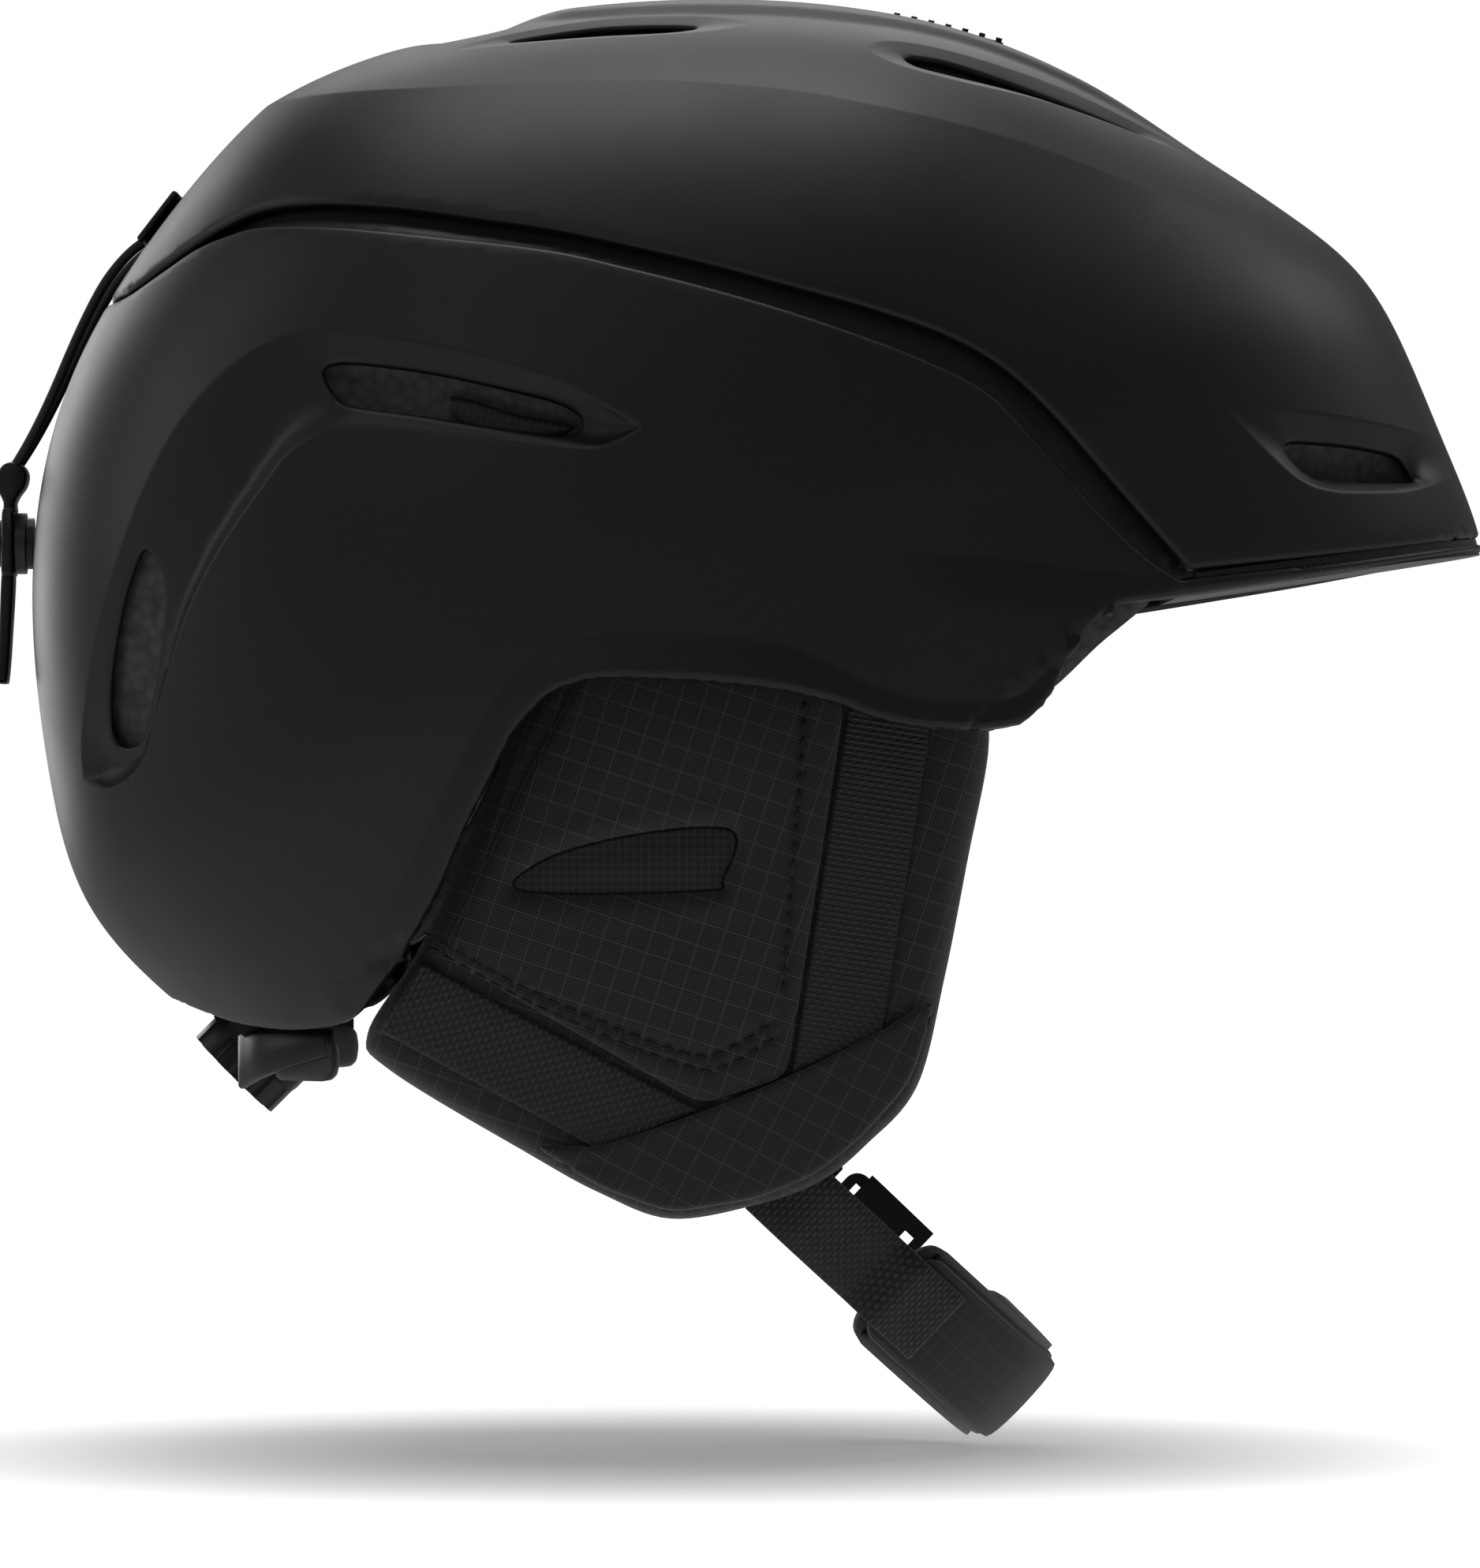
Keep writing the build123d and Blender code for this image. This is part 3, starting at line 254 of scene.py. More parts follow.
# ---- the shell's form ---------------------------------------------------------------------
class Form:
    """A polar side profile carried out to a half width by a superellipse, as in the CAD model."""

    def __init__(self, profile, half_width):
        self.half_width = half_width
        self.angles = np.radians([a for a, _ in profile])
        self.radii = np.array([r for _, r in profile], float)
        self.bends = self._bends()

    def _bends(self):
        count = len(self.angles)
        gaps = np.diff(np.append(self.angles, self.angles[0] + 2 * math.pi))
        matrix, right = np.zeros((count, count)), np.zeros(count)
        for i in range(count):
            before, after = gaps[i - 1], gaps[i]
            matrix[i, i - 1] += before
            matrix[i, i] += 2 * (before + after)
            matrix[i, (i + 1) % count] += after
            rise_after = (self.radii[(i + 1) % count] - self.radii[i]) / after
            rise_before = (self.radii[i] - self.radii[i - 1]) / before
            right[i] = 6 * (rise_after - rise_before)
        return np.linalg.solve(matrix, right)

    def radius(self, angle):
        turn = 2 * math.pi
        angle = (angle - self.angles[0]) % turn + self.angles[0]
        i = np.searchsorted(self.angles, angle, side="right") - 1
        j = (i + 1) % len(self.angles)
        gap = (self.angles[j] - self.angles[i]) % turn
        u = angle - self.angles[i]
        w = gap - u
        curved = (self.bends[i] * w**3 + self.bends[j] * u**3) / (6 * gap)
        return (
            curved
            + (self.radii[i] / gap - self.bends[i] * gap / 6) * w
            + (self.radii[j] / gap - self.bends[j] * gap / 6) * u
        )

    def power(self, angle):
        degrees = np.degrees((angle + math.pi) % (2 * math.pi) - math.pi)
        return 2.32 - 0.27 * np.exp(-((degrees / 35.0) ** 2))

    def unwrap(self, xz):
        """(x, z) to a flat disc whose rim, at pi / 2, is the helmet's plane of symmetry."""
        xz = np.asarray(xz, float)
        angle = np.arctan2(xz[:, 1], xz[:, 0])
        share = np.clip(np.hypot(xz[:, 0], xz[:, 1]) / self.radius(angle), 0, 1)
        tilt = np.arcsin(share ** (self.power(angle) / 2))
        return np.stack([tilt * np.cos(angle), tilt * np.sin(angle)], 1)

    def wrap(self, flat, inset=0.0):
        """From the disc to points on the right-hand half of the form."""
        tilt = np.clip(np.hypot(flat[:, 0], flat[:, 1]), 1e-9, RIM)
        angle = np.arctan2(flat[:, 1], flat[:, 0])
        power = 2 / self.power(angle)
        reach = np.sin(tilt) ** power * (self.radius(angle) - inset)
        side = (self.half_width - inset) * np.clip(np.cos(tilt), 0, 1) ** power
        return np.stack([reach * np.cos(angle), -side, reach * np.sin(angle)], 1)

    def normals(self, flat):
        step = 1e-4
        tilt = np.hypot(flat[:, 0], flat[:, 1])
        inner = flat * np.minimum(1, (RIM - 2 * step) / np.maximum(tilt, 1e-9))[:, None]
        across = self.wrap(inner + [step, 0]) - self.wrap(inner - [step, 0])
        up = self.wrap(inner + [0, step]) - self.wrap(inner - [0, step])
        normal = np.cross(across, up)
        normal[tilt > NEAR_RIM, 1] = 0
        normal /= np.linalg.norm(normal, axis=1)[:, None]
        return normal

    def crown(self, xy):
        """(x, y) seen from above to (x, z) on the upper side of the form."""
        out = []
        for x, y in xy:
            low, high = 20.0, 118.0
            for _ in range(40):
                z = (low + high) / 2
                angle = math.atan2(z, x)
                share = math.hypot(x, z) / float(self.radius(np.array([angle]))[0])
                power = float(self.power(np.array([angle]))[0])
                wide = self.half_width * max(0.0, 1 - share**power) ** (1 / power)
                low, high = (z, high) if wide > y else (low, z)
            out.append((x, low))
        return out


shell_form = Form(SHELL_PROFILE, SHELL_HALF_WIDTH)
head_form = Form(HEAD_PROFILE, HEAD_HALF_WIDTH)


# ---- lines, distances and meshes ----------------------------------------------------------
def smooth(points, step=1.5, closed=False):
    """A Catmull-Rom line through points, at about one point every step."""
    points = [np.array(p, float) for p in points]
    count = len(points)
    pick = (lambda i: points[i % count]) if closed else (lambda i: points[min(max(i, 0), count - 1)])
    line = []
    for i in range(count if closed else count - 1):
        a, b, c, d = pick(i - 1), pick(i), pick(i + 1), pick(i + 2)
        pieces = max(1, int(math.ceil(np.linalg.norm(c - b) / step)))
        for k in range(pieces):
            t = k / pieces
            square, cube = (2 * a - 5 * b + 4 * c - d) * t**2, (3 * b - a - 3 * c + d) * t**3
            line.append(0.5 * (2 * b + (c - a) * t + square + cube))
    if not closed:
        line.append(points[-1])
    return np.array(line)


def distance(points, line, closed=False):
    """How far each point is from a line of points."""
    ends = np.roll(line, -1, 0) if closed else line[1:]
    starts = line if closed else line[:-1]
    best = np.full(len(points), 1e9)
    for a, b in zip(starts, ends):
        along = b - a
        share = np.clip(((points - a) @ along) / max(along @ along, 1e-12), 0, 1)
        best = np.minimum(best, np.linalg.norm(points - (a + share[:, None] * along), axis=1))
    return best


def inside(points, loop):
    """Which flat points lie inside a closed flat loop."""
    hit = np.zeros(len(points), bool)
    for (x1, y1), (x2, y2) in zip(loop, np.roll(loop, -1, 0)):
        crosses = (y1 > points[:, 1]) != (y2 > points[:, 1])
        if abs(y2 - y1) > 1e-12:
            hit ^= crosses & (points[:, 0] < (x2 - x1) * (points[:, 1] - y1) / (y2 - y1) + x1)
    return hit


def ease(t):
    t = np.clip(t, 0, 1)
    return t * t * (3 - 2 * t)


def rim_arc(from_angle, to_angle, step=0.013):
    """Points on the disc's rim, where the helmet's two halves meet."""
    count = max(2, int(abs(to_angle - from_angle) / step))
    turn = np.linspace(from_angle, to_angle, count + 1)
    return np.stack([np.cos(turn), np.sin(turn)], 1) * RIM


def side_rows(line, offsets):
    """Copies of a flat line moved sideways, so that a bend across it is followed closely."""
    along = np.gradient(line, axis=0)
    along /= np.maximum(np.linalg.norm(along, axis=1), 1e-9)[:, None]
    beside = np.stack([-along[:, 1], along[:, 0]], 1)
    return [line + beside * offset for offset in offsets]


def fill(outline, holes, lines, step, row_offsets):
    """Triangles over a flat region whose mesh follows its edges, its holes and some lines."""
    loops = [outline, *holes]
    fixed, edges = [], []
    for loop in loops:
        first = len(fixed)
        fixed += list(loop)
        edges += [(first + i, first + (i + 1) % len(loop)) for i in range(len(loop))]
    for line in lines:
        first = len(fixed)
        fixed += list(line)
        edges += [(first + i, first + i + 1) for i in range(len(line) - 1)]
    fixed = np.array(fixed)
    rows = [row for line in (*loops, *lines) for row in side_rows(line, row_offsets)]
    rows = np.concatenate(rows) if rows else np.zeros((0, 2))
    low, high = outline.min(0), outline.max(0)
    grid = []
    for j, y in enumerate(np.arange(low[1], high[1], step * 0.866)):
        xs = np.arange(low[0] + (j % 2) * step / 2, high[0], step)
        grid.append(np.stack([xs, np.full(len(xs), y)], 1))
    grid = np.concatenate(grid)

    def wanted(points, near, gap):
        if not len(points):
            return points
        keep = inside(points, outline)
        for hole in holes:
            keep &= ~inside(points, hole)
        points = points[keep]
        tree = kdtree.KDTree(len(near))
        for i, p in enumerate(near):
            tree.insert((p[0], p[1], 0), i)
        tree.balance()
        return np.array([p for p in points if tree.find((p[0], p[1], 0))[2] > gap]).reshape(-1, 2)

    smallest = min((abs(o) for o in row_offsets), default=step)
    rows = wanted(rows, fixed, smallest * 0.8)
    grid = wanted(grid, np.concatenate([fixed, rows]), step * 0.6)
    every = np.concatenate([fixed, rows, grid])
    found = geometry.delaunay_2d_cdt([Vector(p) for p in every], edges, [], 0, 1e-7)
    flat = np.array([(v.x, v.y) for v in found[0]])
    faces = np.array(found[2])
    middle = flat[faces].mean(1)
    keep = inside(middle, outline)
    for hole in holes:
        keep &= ~inside(middle, hole)
    return flat, faces[keep]


def make_mesh(name, points, faces, smoothly=True):
    mesh = bpy.data.meshes.new(name)
    mesh.from_pydata([tuple(p * MM) for p in points], [], [tuple(int(i) for i in f) for f in faces])
    mesh.validate()
    mesh.update()
    piece = bpy.data.objects.new(name, mesh)
    bpy.context.collection.objects.link(piece)
    shade_smooth(piece, smoothly)
    return piece


def rework(piece, change):
    """Runs a change on a piece's mesh as a bmesh."""
    work = bmesh.new()
    work.from_mesh(piece.data)
    change(work)
    work.to_mesh(piece.data)
    work.free()


def heal(piece, gap=0.0):
    """Merges points closer than a gap, and turns all faces outwards."""
    def change(work):
        if gap:
            bmesh.ops.remove_doubles(work, verts=work.verts, dist=gap * MM)
        bmesh.ops.recalc_face_normals(work, faces=work.faces)

    rework(piece, change)


def shade_smooth(piece, smoothly=True):
    for polygon in piece.data.polygons:
        polygon.use_smooth = smoothly


def thicken(piece, thick):
    """Gives a sheet a wall thickness, inwards."""
    wall = piece.modifiers.new("Wall", "SOLIDIFY")
    wall.thickness = thick * MM
    wall.offset = -1.0
    wall.use_even_offset = False
    with bpy.context.temp_override(object=piece, active_object=piece, selected_objects=[piece]):
        bpy.ops.object.modifier_apply(modifier=wall.name)


def shell_patch(name, outline, holes, lines, relief, thick=SHELL_THICK, step=MESH_STEP):
    """Both halves of a piece of the shell: a flat region of the disc, wrapped, shaped and thickened."""
    offsets = [s * o for o in (0.004, 0.010) for s in (-1, 1)]
    flat, faces = fill(outline, holes, lines, step, offsets)
    base, normal = shell_form.wrap(flat), shell_form.normals(flat)
    points = base + normal * relief(flat, base)[:, None]
    other = points * [1, -1, 1]
    count = len(points)
    piece = make_mesh(
        name,
        np.concatenate([points, other]),
        [tuple(f) for f in faces] + [tuple(reversed(f + count)) for f in faces],
    )
    heal(piece, 0.02)
    thicken(piece, thick)
    shade_smooth(piece)
    return piece


def rolled(gap, radius=EDGE_ROUND):
    """How far a rolled edge falls back, at some distance in from the edge."""
    near = np.clip(1 - gap / radius, 0, 1)
    return -radius * (1 - np.sqrt(np.clip(1 - near**2, 0, 1)))


# ---- materials ----------------------------------------------------------------------------
class Finish:
    """A material being built: its node tree, its shader, and object coordinates in millimetres."""

    def __init__(self, name, colour, roughness, space="Object", **inputs):
        self.material = bpy.data.materials.new(name)
        self.material.use_nodes = True
        self.tree = self.material.node_tree
        self.shader = self.tree.nodes["Principled BSDF"]
        self.shader.inputs["Base Color"].default_value = (*colour, 1)
        self.shader.inputs["Roughness"].default_value = roughness
        for key, value in inputs.items():
            self.shader.inputs[key.replace("_", " ")].default_value = value
        self.colour = colour
        coordinates = self.node("ShaderNodeTexCoord")
        self.place = self.node("ShaderNodeMapping", Scale=(1 / MM, 1 / MM, 1 / MM))
        self.link(coordinates.outputs[space], self.place.inputs["Vector"])

    def node(self, kind, operation=None, **inputs):
        node = self.tree.nodes.new(kind)
        if operation:
            node.operation = operation
        for key, value in inputs.items():
            node.inputs[key.replace("_", " ")].default_value = value
        return node

    def link(self, source, target):
        self.tree.links.new(source, target)

    def math(self, operation, *values):
        node = self.node("ShaderNodeMath", operation)
        for i, value in enumerate(values):
            if isinstance(value, (int, float)):
                node.inputs[i].default_value = value
            else:
                self.link(value, node.inputs[i])
        return node.outputs[0]

    def turned(self, spin, plane="XZ"):
        """Coordinates u and v in millimetres on a side face, turned by an angle in degrees."""
        split = self.node("ShaderNodeSeparateXYZ")
        self.link(self.place.outputs[0], split.inputs[0])
        a, b = (split.outputs[{"X": 0, "Y": 1, "Z": 2}[axis]] for axis in plane)
        c, s = math.cos(math.radians(spin)), math.sin(math.radians(spin))
        u = self.math("ADD", self.math("MULTIPLY", a, c), self.math("MULTIPLY", b, s))
        v = self.math("SUBTRACT", self.math("MULTIPLY", b, c), self.math("MULTIPLY", a, s))
        return u, v

    def wave(self, u, pitch):
        """A smooth wave from 0 to 1 with that pitch in millimetres."""
        turn = self.math("MULTIPLY", u, 2 * math.pi / pitch)
        return self.math("MULTIPLY_ADD", self.math("SINE", turn), 0.5, 0.5)

    def line(self, u, pitch, width):
        """1 on thin lines at that pitch, 0 between them."""
        part = self.math("FRACT", self.math("DIVIDE", u, pitch))
        return self.math("LESS_THAN", part, width / pitch)

    def noise(self, scale, detail=2.0, roughness=0.5):
        node = self.node("ShaderNodeTexNoise", Scale=scale, Detail=detail, Roughness=roughness)
        self.link(self.place.outputs[0], node.inputs["Vector"])
        return node.outputs["Fac"]

    def bump(self, height, strength, depth):
        node = self.node("ShaderNodeBump", Strength=strength, Distance=depth * MM)
        self.link(height, node.inputs["Height"])
        last = self.shader.inputs["Normal"].links
        if last:
            self.link(last[0].from_socket, node.inputs["Normal"])
        self.link(node.outputs["Normal"], self.shader.inputs["Normal"])

    def shade(self, share, dark, light):
        """The base colour runs between two brightnesses of the finish's own colour."""
        ramp = self.node("ShaderNodeValToRGB")
        ramp.color_ramp.elements[0].color = (*[c * dark for c in self.colour], 1)
        ramp.color_ramp.elements[1].color = (*[c * light for c in self.colour], 1)
        self.link(share, ramp.inputs[0])
        self.link(ramp.outputs[0], self.shader.inputs["Base Color"])

    def vary_roughness(self, share, low, high):
        self.link(self.math("MULTIPLY_ADD", share, high - low, low), self.shader.inputs["Roughness"])


def moulded(name, colour, roughness, grain=0.35, strength=0.25):
    """Moulded plastic: a fine even texture, slightly uneven gloss and faint rub marks."""
    finish = Finish(name, colour, roughness, Specular_IOR_Level=0.42)
    finish.bump(finish.noise(1 / grain, 3), strength, 0.03)
    finish.vary_roughness(finish.noise(0.05, 4), roughness - 0.05, roughness + 0.06)
    finish.shade(finish.noise(0.02, 3), 0.92, 1.08)
    return finish.material


def beaded_foam():
    finish = Finish("bead_foam", (0.085, 0.085, 0.088), 0.8)
    beads = finish.node("ShaderNodeTexVoronoi", Scale=0.42)
    finish.link(finish.place.outputs[0], beads.inputs["Vector"])
    # Each bead's middle is painted lighter and its edge darker: a painted highlight and painted shade that
    # follow the beads' domed bump.
    finish.shade(beads.outputs["Distance"], 1.35, 0.55)
    finish.bump(beads.outputs["Distance"], 0.7, -0.35)
    finish.bump(finish.noise(3.0, 3), 0.3, 0.08)
    return finish.material


def ripstop(name, colour, spin, pitch, light=1.0, plane="XZ", space="Object"):
    """A plain weave with a raised grid of thicker threads. Where the threads stand up, the colour is a
    painted highlight on the weave's crests and the grid, which light scales; the troughs get painted shade.
    """
    finish = Finish(name, colour, 0.78, space, Sheen_Weight=0.25, Sheen_Roughness=0.5)
    u, v = finish.turned(spin, plane)
    weave = finish.math("MULTIPLY", finish.wave(u, 0.62), finish.wave(v, 0.62))
    grid = finish.math("MAXIMUM", finish.line(u, pitch, 0.22), finish.line(v, pitch, 0.22))
    height = finish.math("MULTIPLY_ADD", grid, 0.6, weave)
    # painted highlight on the weave's crests and the raised grid, painted shade in the troughs
    painted_light = finish.math("MULTIPLY_ADD", grid, 0.42 * light, finish.math("MULTIPLY", weave, 0.45))
    finish.shade(painted_light, 0.45, 3.2)
    finish.bump(height, 0.55, 0.10)
    return finish.material


def woven_webbing(name, spin, plane="XZ", space="Object"):
    """Webbing: rows of short raised picks, every second row shifted by half a pick. The picks' tops get a
    painted highlight and the gaps between them painted shade, following the bump.
    """
    finish = Finish(name, (0.014, 0.014, 0.015), 0.62, space, Sheen_Weight=0.15)
    u, v = finish.turned(spin, plane)
    row = finish.math("FLOOR", finish.math("DIVIDE", v, 1.05))
    shifted = finish.math("MULTIPLY_ADD", row, 0.95, u)
    pick = finish.math("MULTIPLY", finish.wave(shifted, 1.9), finish.wave(v, 1.05))
    # painted highlight on the raised picks, painted shade between them
    finish.shade(pick, 0.35, 2.6)
    finish.bump(pick, 0.9, 0.3)
    return finish.material


def open_mesh(name, colour, pitch, hole, spin=0.0):
    """A square net of round threads. Its square holes are painted near-black: painted shade that stands for
    the dark seen through the openings.
    """
    finish = Finish(name, colour, 0.6)
    u, v = finish.turned(spin)
    void = finish.math("MULTIPLY", finish.line(u, pitch, hole), finish.line(v, pitch, hole))
    # the holes are painted shade, near-black; the threads keep a lighter colour
    finish.shade(void, 2.4, 0.10)
    finish.bump(void, 0.9, -0.3)
    return finish.material


def brushed_knit(name, colour):
    finish = Finish(name, colour, 0.9, Sheen_Weight=0.5, Sheen_Roughness=0.6)
    finish.bump(finish.noise(1.6, 4, 0.7), 0.5, 0.25)
    finish.shade(finish.noise(0.8, 4, 0.7), 0.7, 1.5)
    return finish.material


MATERIALS = {
    "shell": moulded("shell_plastic", (0.012, 0.012, 0.0125), 0.46),
    "gutter": moulded("gutter_plastic", (0.016, 0.016, 0.017), 0.38),
    "trim": moulded("trim_plastic", (0.008, 0.008, 0.0085), 0.40),
    "snap": moulded("snap_plastic", (0.030, 0.030, 0.032), 0.35),
    "foam": beaded_foam(),
    "panel": ripstop("ripstop", (0.021, 0.021, 0.0225), -18, 4.3, 1.5),
    "cuff": ripstop("cuff_ripstop", (0.018, 0.018, 0.0195), -28, 4.9, 1.6),
    "webbing": woven_webbing("webbing_weave", -8.7),
    "webbing_rear": woven_webbing("webbing_weave_rear", 62),
    "strap_web": woven_webbing("strap_weave", 0, "XY", "UV"),
    "strap_cover": ripstop("strap_ripstop", (0.0155, 0.0155, 0.017), 0, 4.5, 1.2, "XY", "UV"),
    "net": open_mesh("vent_mesh", (0.004, 0.004, 0.004), 1.3, 0.8, -10),
    "mesh": open_mesh("speaker_mesh", (0.006, 0.006, 0.0065), 1.42, 0.95),
    "lining": brushed_knit("brushed_lining", (0.024, 0.024, 0.026)),
    "pad": brushed_knit("pad_knit", (0.018, 0.018, 0.020)),
    "cord": moulded("elastic_cord", (0.012, 0.012, 0.013), 0.55, 0.5, 0.6),
    "thread": moulded("stitch_thread", (0.006, 0.006, 0.007), 0.6),
}


def dress(piece, material, slot, body="helmet", replaces=()):
    """Gives a piece its material and sets the body that it moves with. The slot argument is not used."""
    piece.data.materials.clear()
    piece.data.materials.append(MATERIALS[material])
    if replaces:
        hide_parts(*replaces)
    if body:
        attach(piece, body)
    return piece


# ---- camera, lights and floor -------------------------------------------------------------
def make_camera():
    camera = bpy.data.objects.new("camera", bpy.data.cameras.new("camera"))
    camera.location = (0.0183, -2.0, -0.0362)
    camera.rotation_euler = (math.radians(90), 0, 0)
    camera.data.lens = 233.8
    camera.data.sensor_width = 36
    camera.data.clip_end = 50
    bpy.context.collection.objects.link(camera)
    bpy.context.scene.camera = camera


def make_floor():
    """A white floor that glows by itself away from the helmet, so the shadow fades out."""
    ground = Finish("stage_white", (0.56, 0.56, 0.56), 0.9)
    ground.shader.inputs["Emission Color"].default_value = (1, 1, 1, 1)
    radius = ground.node("ShaderNodeVectorMath", "LENGTH")
    ground.link(ground.place.outputs[0], radius.inputs[0])
    past = ground.math("SUBTRACT", radius.outputs["Value"], SHADOW_RADIUS)
    spread = ground.math("MINIMUM", ground.math("DIVIDE", past, SHADOW_FADE), 1.0)
    glow = ground.math("MULTIPLY_ADD", ground.math("MAXIMUM", spread, 0.0), 0.80, 0.20)
    ground.link(glow, ground.shader.inputs["Emission Strength"])
    turns = [k * 2 * math.pi / FLOOR_SIDES for k in range(FLOOR_SIDES)]
    points = [(FLOOR_RADIUS * math.cos(t), FLOOR_RADIUS * math.sin(t), FLOOR_HEIGHT / MM) for t in turns]
    floor = make_mesh("floor", np.array(points), [tuple(range(FLOOR_SIDES))])
    floor.data.materials.append(ground.material)
    floor.visible_diffuse = False
    floor.visible_glossy = False
    floor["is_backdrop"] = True


def make_light():
    """Ambient light that is stronger from below, a white backdrop, and the area lights."""
    world = bpy.data.worlds.new("studio")
    world.use_nodes = True
    tree = world.node_tree
    ambient = tree.nodes["Background"]
    ambient.inputs[0].default_value = (1, 1, 1, 1)
    direction = tree.nodes.new("ShaderNodeTexCoord")
    split = tree.nodes.new("ShaderNodeSeparateXYZ")
    tree.links.new(direction.outputs["Generated"], split.inputs[0])
    fade = tree.nodes.new("ShaderNodeMapRange")
    for slot, value in (("From Min", 0.25), ("From Max", -0.55), ("To Min", 0.10), ("To Max", 0.53)):
        fade.inputs[slot].default_value = value
    tree.links.new(split.outputs["Z"], fade.inputs["Value"])
    tree.links.new(fade.outputs["Result"], ambient.inputs[1])
    backdrop = tree.nodes.new("ShaderNodeBackground")
    backdrop.inputs[0].default_value = (1, 1, 1, 1)
    backdrop.inputs[1].default_value = 1.0
    ray = tree.nodes.new("ShaderNodeLightPath")
    mix = tree.nodes.new("ShaderNodeMixShader")
    tree.links.new(ray.outputs["Is Camera Ray"], mix.inputs[0])
    tree.links.new(ambient.outputs[0], mix.inputs[1])
    tree.links.new(backdrop.outputs[0], mix.inputs[2])
    tree.links.new(mix.outputs[0], tree.nodes["World Output"].inputs[0])
    bpy.context.scene.world = world

    for name, place, target, size, power in LIGHTS:
        data = bpy.data.lights.new(name, "AREA")
        data.shape = "RECTANGLE"
        data.size, data.size_y = size
        data.energy = power
        light = bpy.data.objects.new(name, data)
        light.location = place
        aim = Vector(target) - Vector(place)
        light.rotation_euler = aim.to_track_quat("-Z", "Y").to_euler()
        bpy.context.collection.objects.link(light)
    bpy.context.scene.view_settings.view_transform = "Standard"


# ---- shells -------------------------------------------------------------------------------
def gap_to(base, line):
    """How far points on the form are from a side line."""
    return distance(base, shell_form.wrap(shell_form.unwrap(line)))


def gap_to_loop(base, loop):
    """How far points on the form are from a closed loop, given flat."""
    return distance(base, shell_form.wrap(loop), closed=True)


def to_rim(line, end, form=shell_form):
    """A side line made flat, with its first (0) or last (-1) point moved to the plane of symmetry."""
    flat = form.unwrap(line)
    flat[end] *= RIM / np.linalg.norm(flat[end])
    return flat


def angle_of(point):
    return math.atan2(point[1], point[0])


def band_depth(flat, base, line, loops, depth):
    """A sunk area that slopes from its outline down to the openings in it."""
    outline = shell_form.unwrap(line)
    within = inside(flat, outline)
    to_outline = gap_to_loop(base, outline)
    to_opening = np.full(len(flat), 1e9)
    for loop in loops:
        to_opening = np.minimum(to_opening, gap_to_loop(base, loop))
        to_opening[inside(flat, loop)] = 0
    return np.where(within, depth * to_outline / np.maximum(to_outline + to_opening, 1e-6), 0)


def side_recess(flat, base):
    """The long sunk sweep with the rear vent and the side vent in its floor."""
    outer, inner = smooth(RECESS_OUTER), smooth(RECESS_INNER)
    loop = shell_form.unwrap(np.concatenate([outer, inner[1:-1]]))
    within = inside(flat, loop)
    to_outer, to_inner = gap_to(base, outer), gap_to(base, inner)
    width = to_outer + to_inner
    share = to_outer / np.maximum(width, 1e-6)
    sweep = np.interp(share, [0, 0.42, 0.80, 1], [0, 0.60, 1, 0])
    pocket = np.interp(share, [0, 0.30, 0.66, 1], [0, 1, 1, 0])
    mix = ease((base[:, 0] + 78) / 26)  # 0 around the rear vent, 1 around the side vent
    deep = RECESS_DEPTH_REAR * (1 - mix) + RECESS_DEPTH_SIDE * mix
    depth = np.minimum(deep, 0.42 * width) * (sweep * (1 - mix) + pocket * mix)
    return np.where(within, depth, 0)


vent_loops = {
    name: shell_form.unwrap(smooth(line, 1.0, closed=True))
    for name, line in (
        ("side", SIDE_VENT), ("rear", REAR_VENT), ("brow", BROW_VENT),
        ("crown_rear", shell_form.crown(CROWN_REAR_VENT)),
        ("crown_front", shell_form.crown(CROWN_FRONT_VENT)),
    )
}
UPPER_VENTS = ("brow", "crown_rear", "crown_front")
LOWER_VENTS = ("side", "rear")
upper_line = smooth(UPPER_EDGE)
gutter_line = smooth(GUTTER_EDGE)
brow_recess = smooth(BROW_RECESS, 1.2, closed=True)
crown_rear_recess = smooth(shell_form.crown(CROWN_REAR_RECESS), 1.2, closed=True)
crown_front_recess = smooth(shell_form.crown(CROWN_FRONT_RECESS), 1.2, closed=True)


def spine(base):
    """The raised middle of the crown, its side walls and the dip behind it."""
    x, out = base[:, 0], np.abs(base[:, 1])
    xs, ys = zip(*SPINE_SIDE)
    edge = np.interp(x, xs, ys)
    raised = ease((x + 28) / 14) * (1 - ease((x - 84) / 28))
    top = (base[:, 2] > 40) * ease((edge - out) / 5 + 0.5)
    dip = 1.9 * np.exp(-(((x + 34) / 8) ** 2)) * ease((34 - out) / 16)
    seat = ease((12 - out) / 2) * ease((x - 32) / 4) * ease((79 - x) / 4)
    return top * (raised * 1.3 * (1 - seat) - 0.2 * seat) - np.where(base[:, 2] > 60, dip, 0)


def crown_relief(flat, base):
    depth = 0
    recesses = ((brow_recess, 2.6), (crown_rear_recess, 0.8), (crown_front_recess, 1.0))
    for key, (line, deep) in zip(UPPER_VENTS, recesses):
        depth = depth + band_depth(flat, base, line, [vent_loops[key]], deep)
    crease = 1.25 * np.exp(-gap_to(base, smooth(CREASE)) / 13)
    crease *= ease((128 - base[:, 0]) / 40)
    return spine(base) + crease - depth


def roll_into_vents(out, base, keys):
    """A relief that also falls back where the shell rolls into its vents."""
    for key in keys:
        out = out + rolled(gap_to_loop(base, vent_loops[key]), VENT_ROUND)
    return out


def upper_relief(flat, base):
    edge = np.concatenate([upper_line, smooth(BRIM_EDGE)[1:]])
    return roll_into_vents(crown_relief(flat, base) + rolled(gap_to(base, edge)), base, UPPER_VENTS)


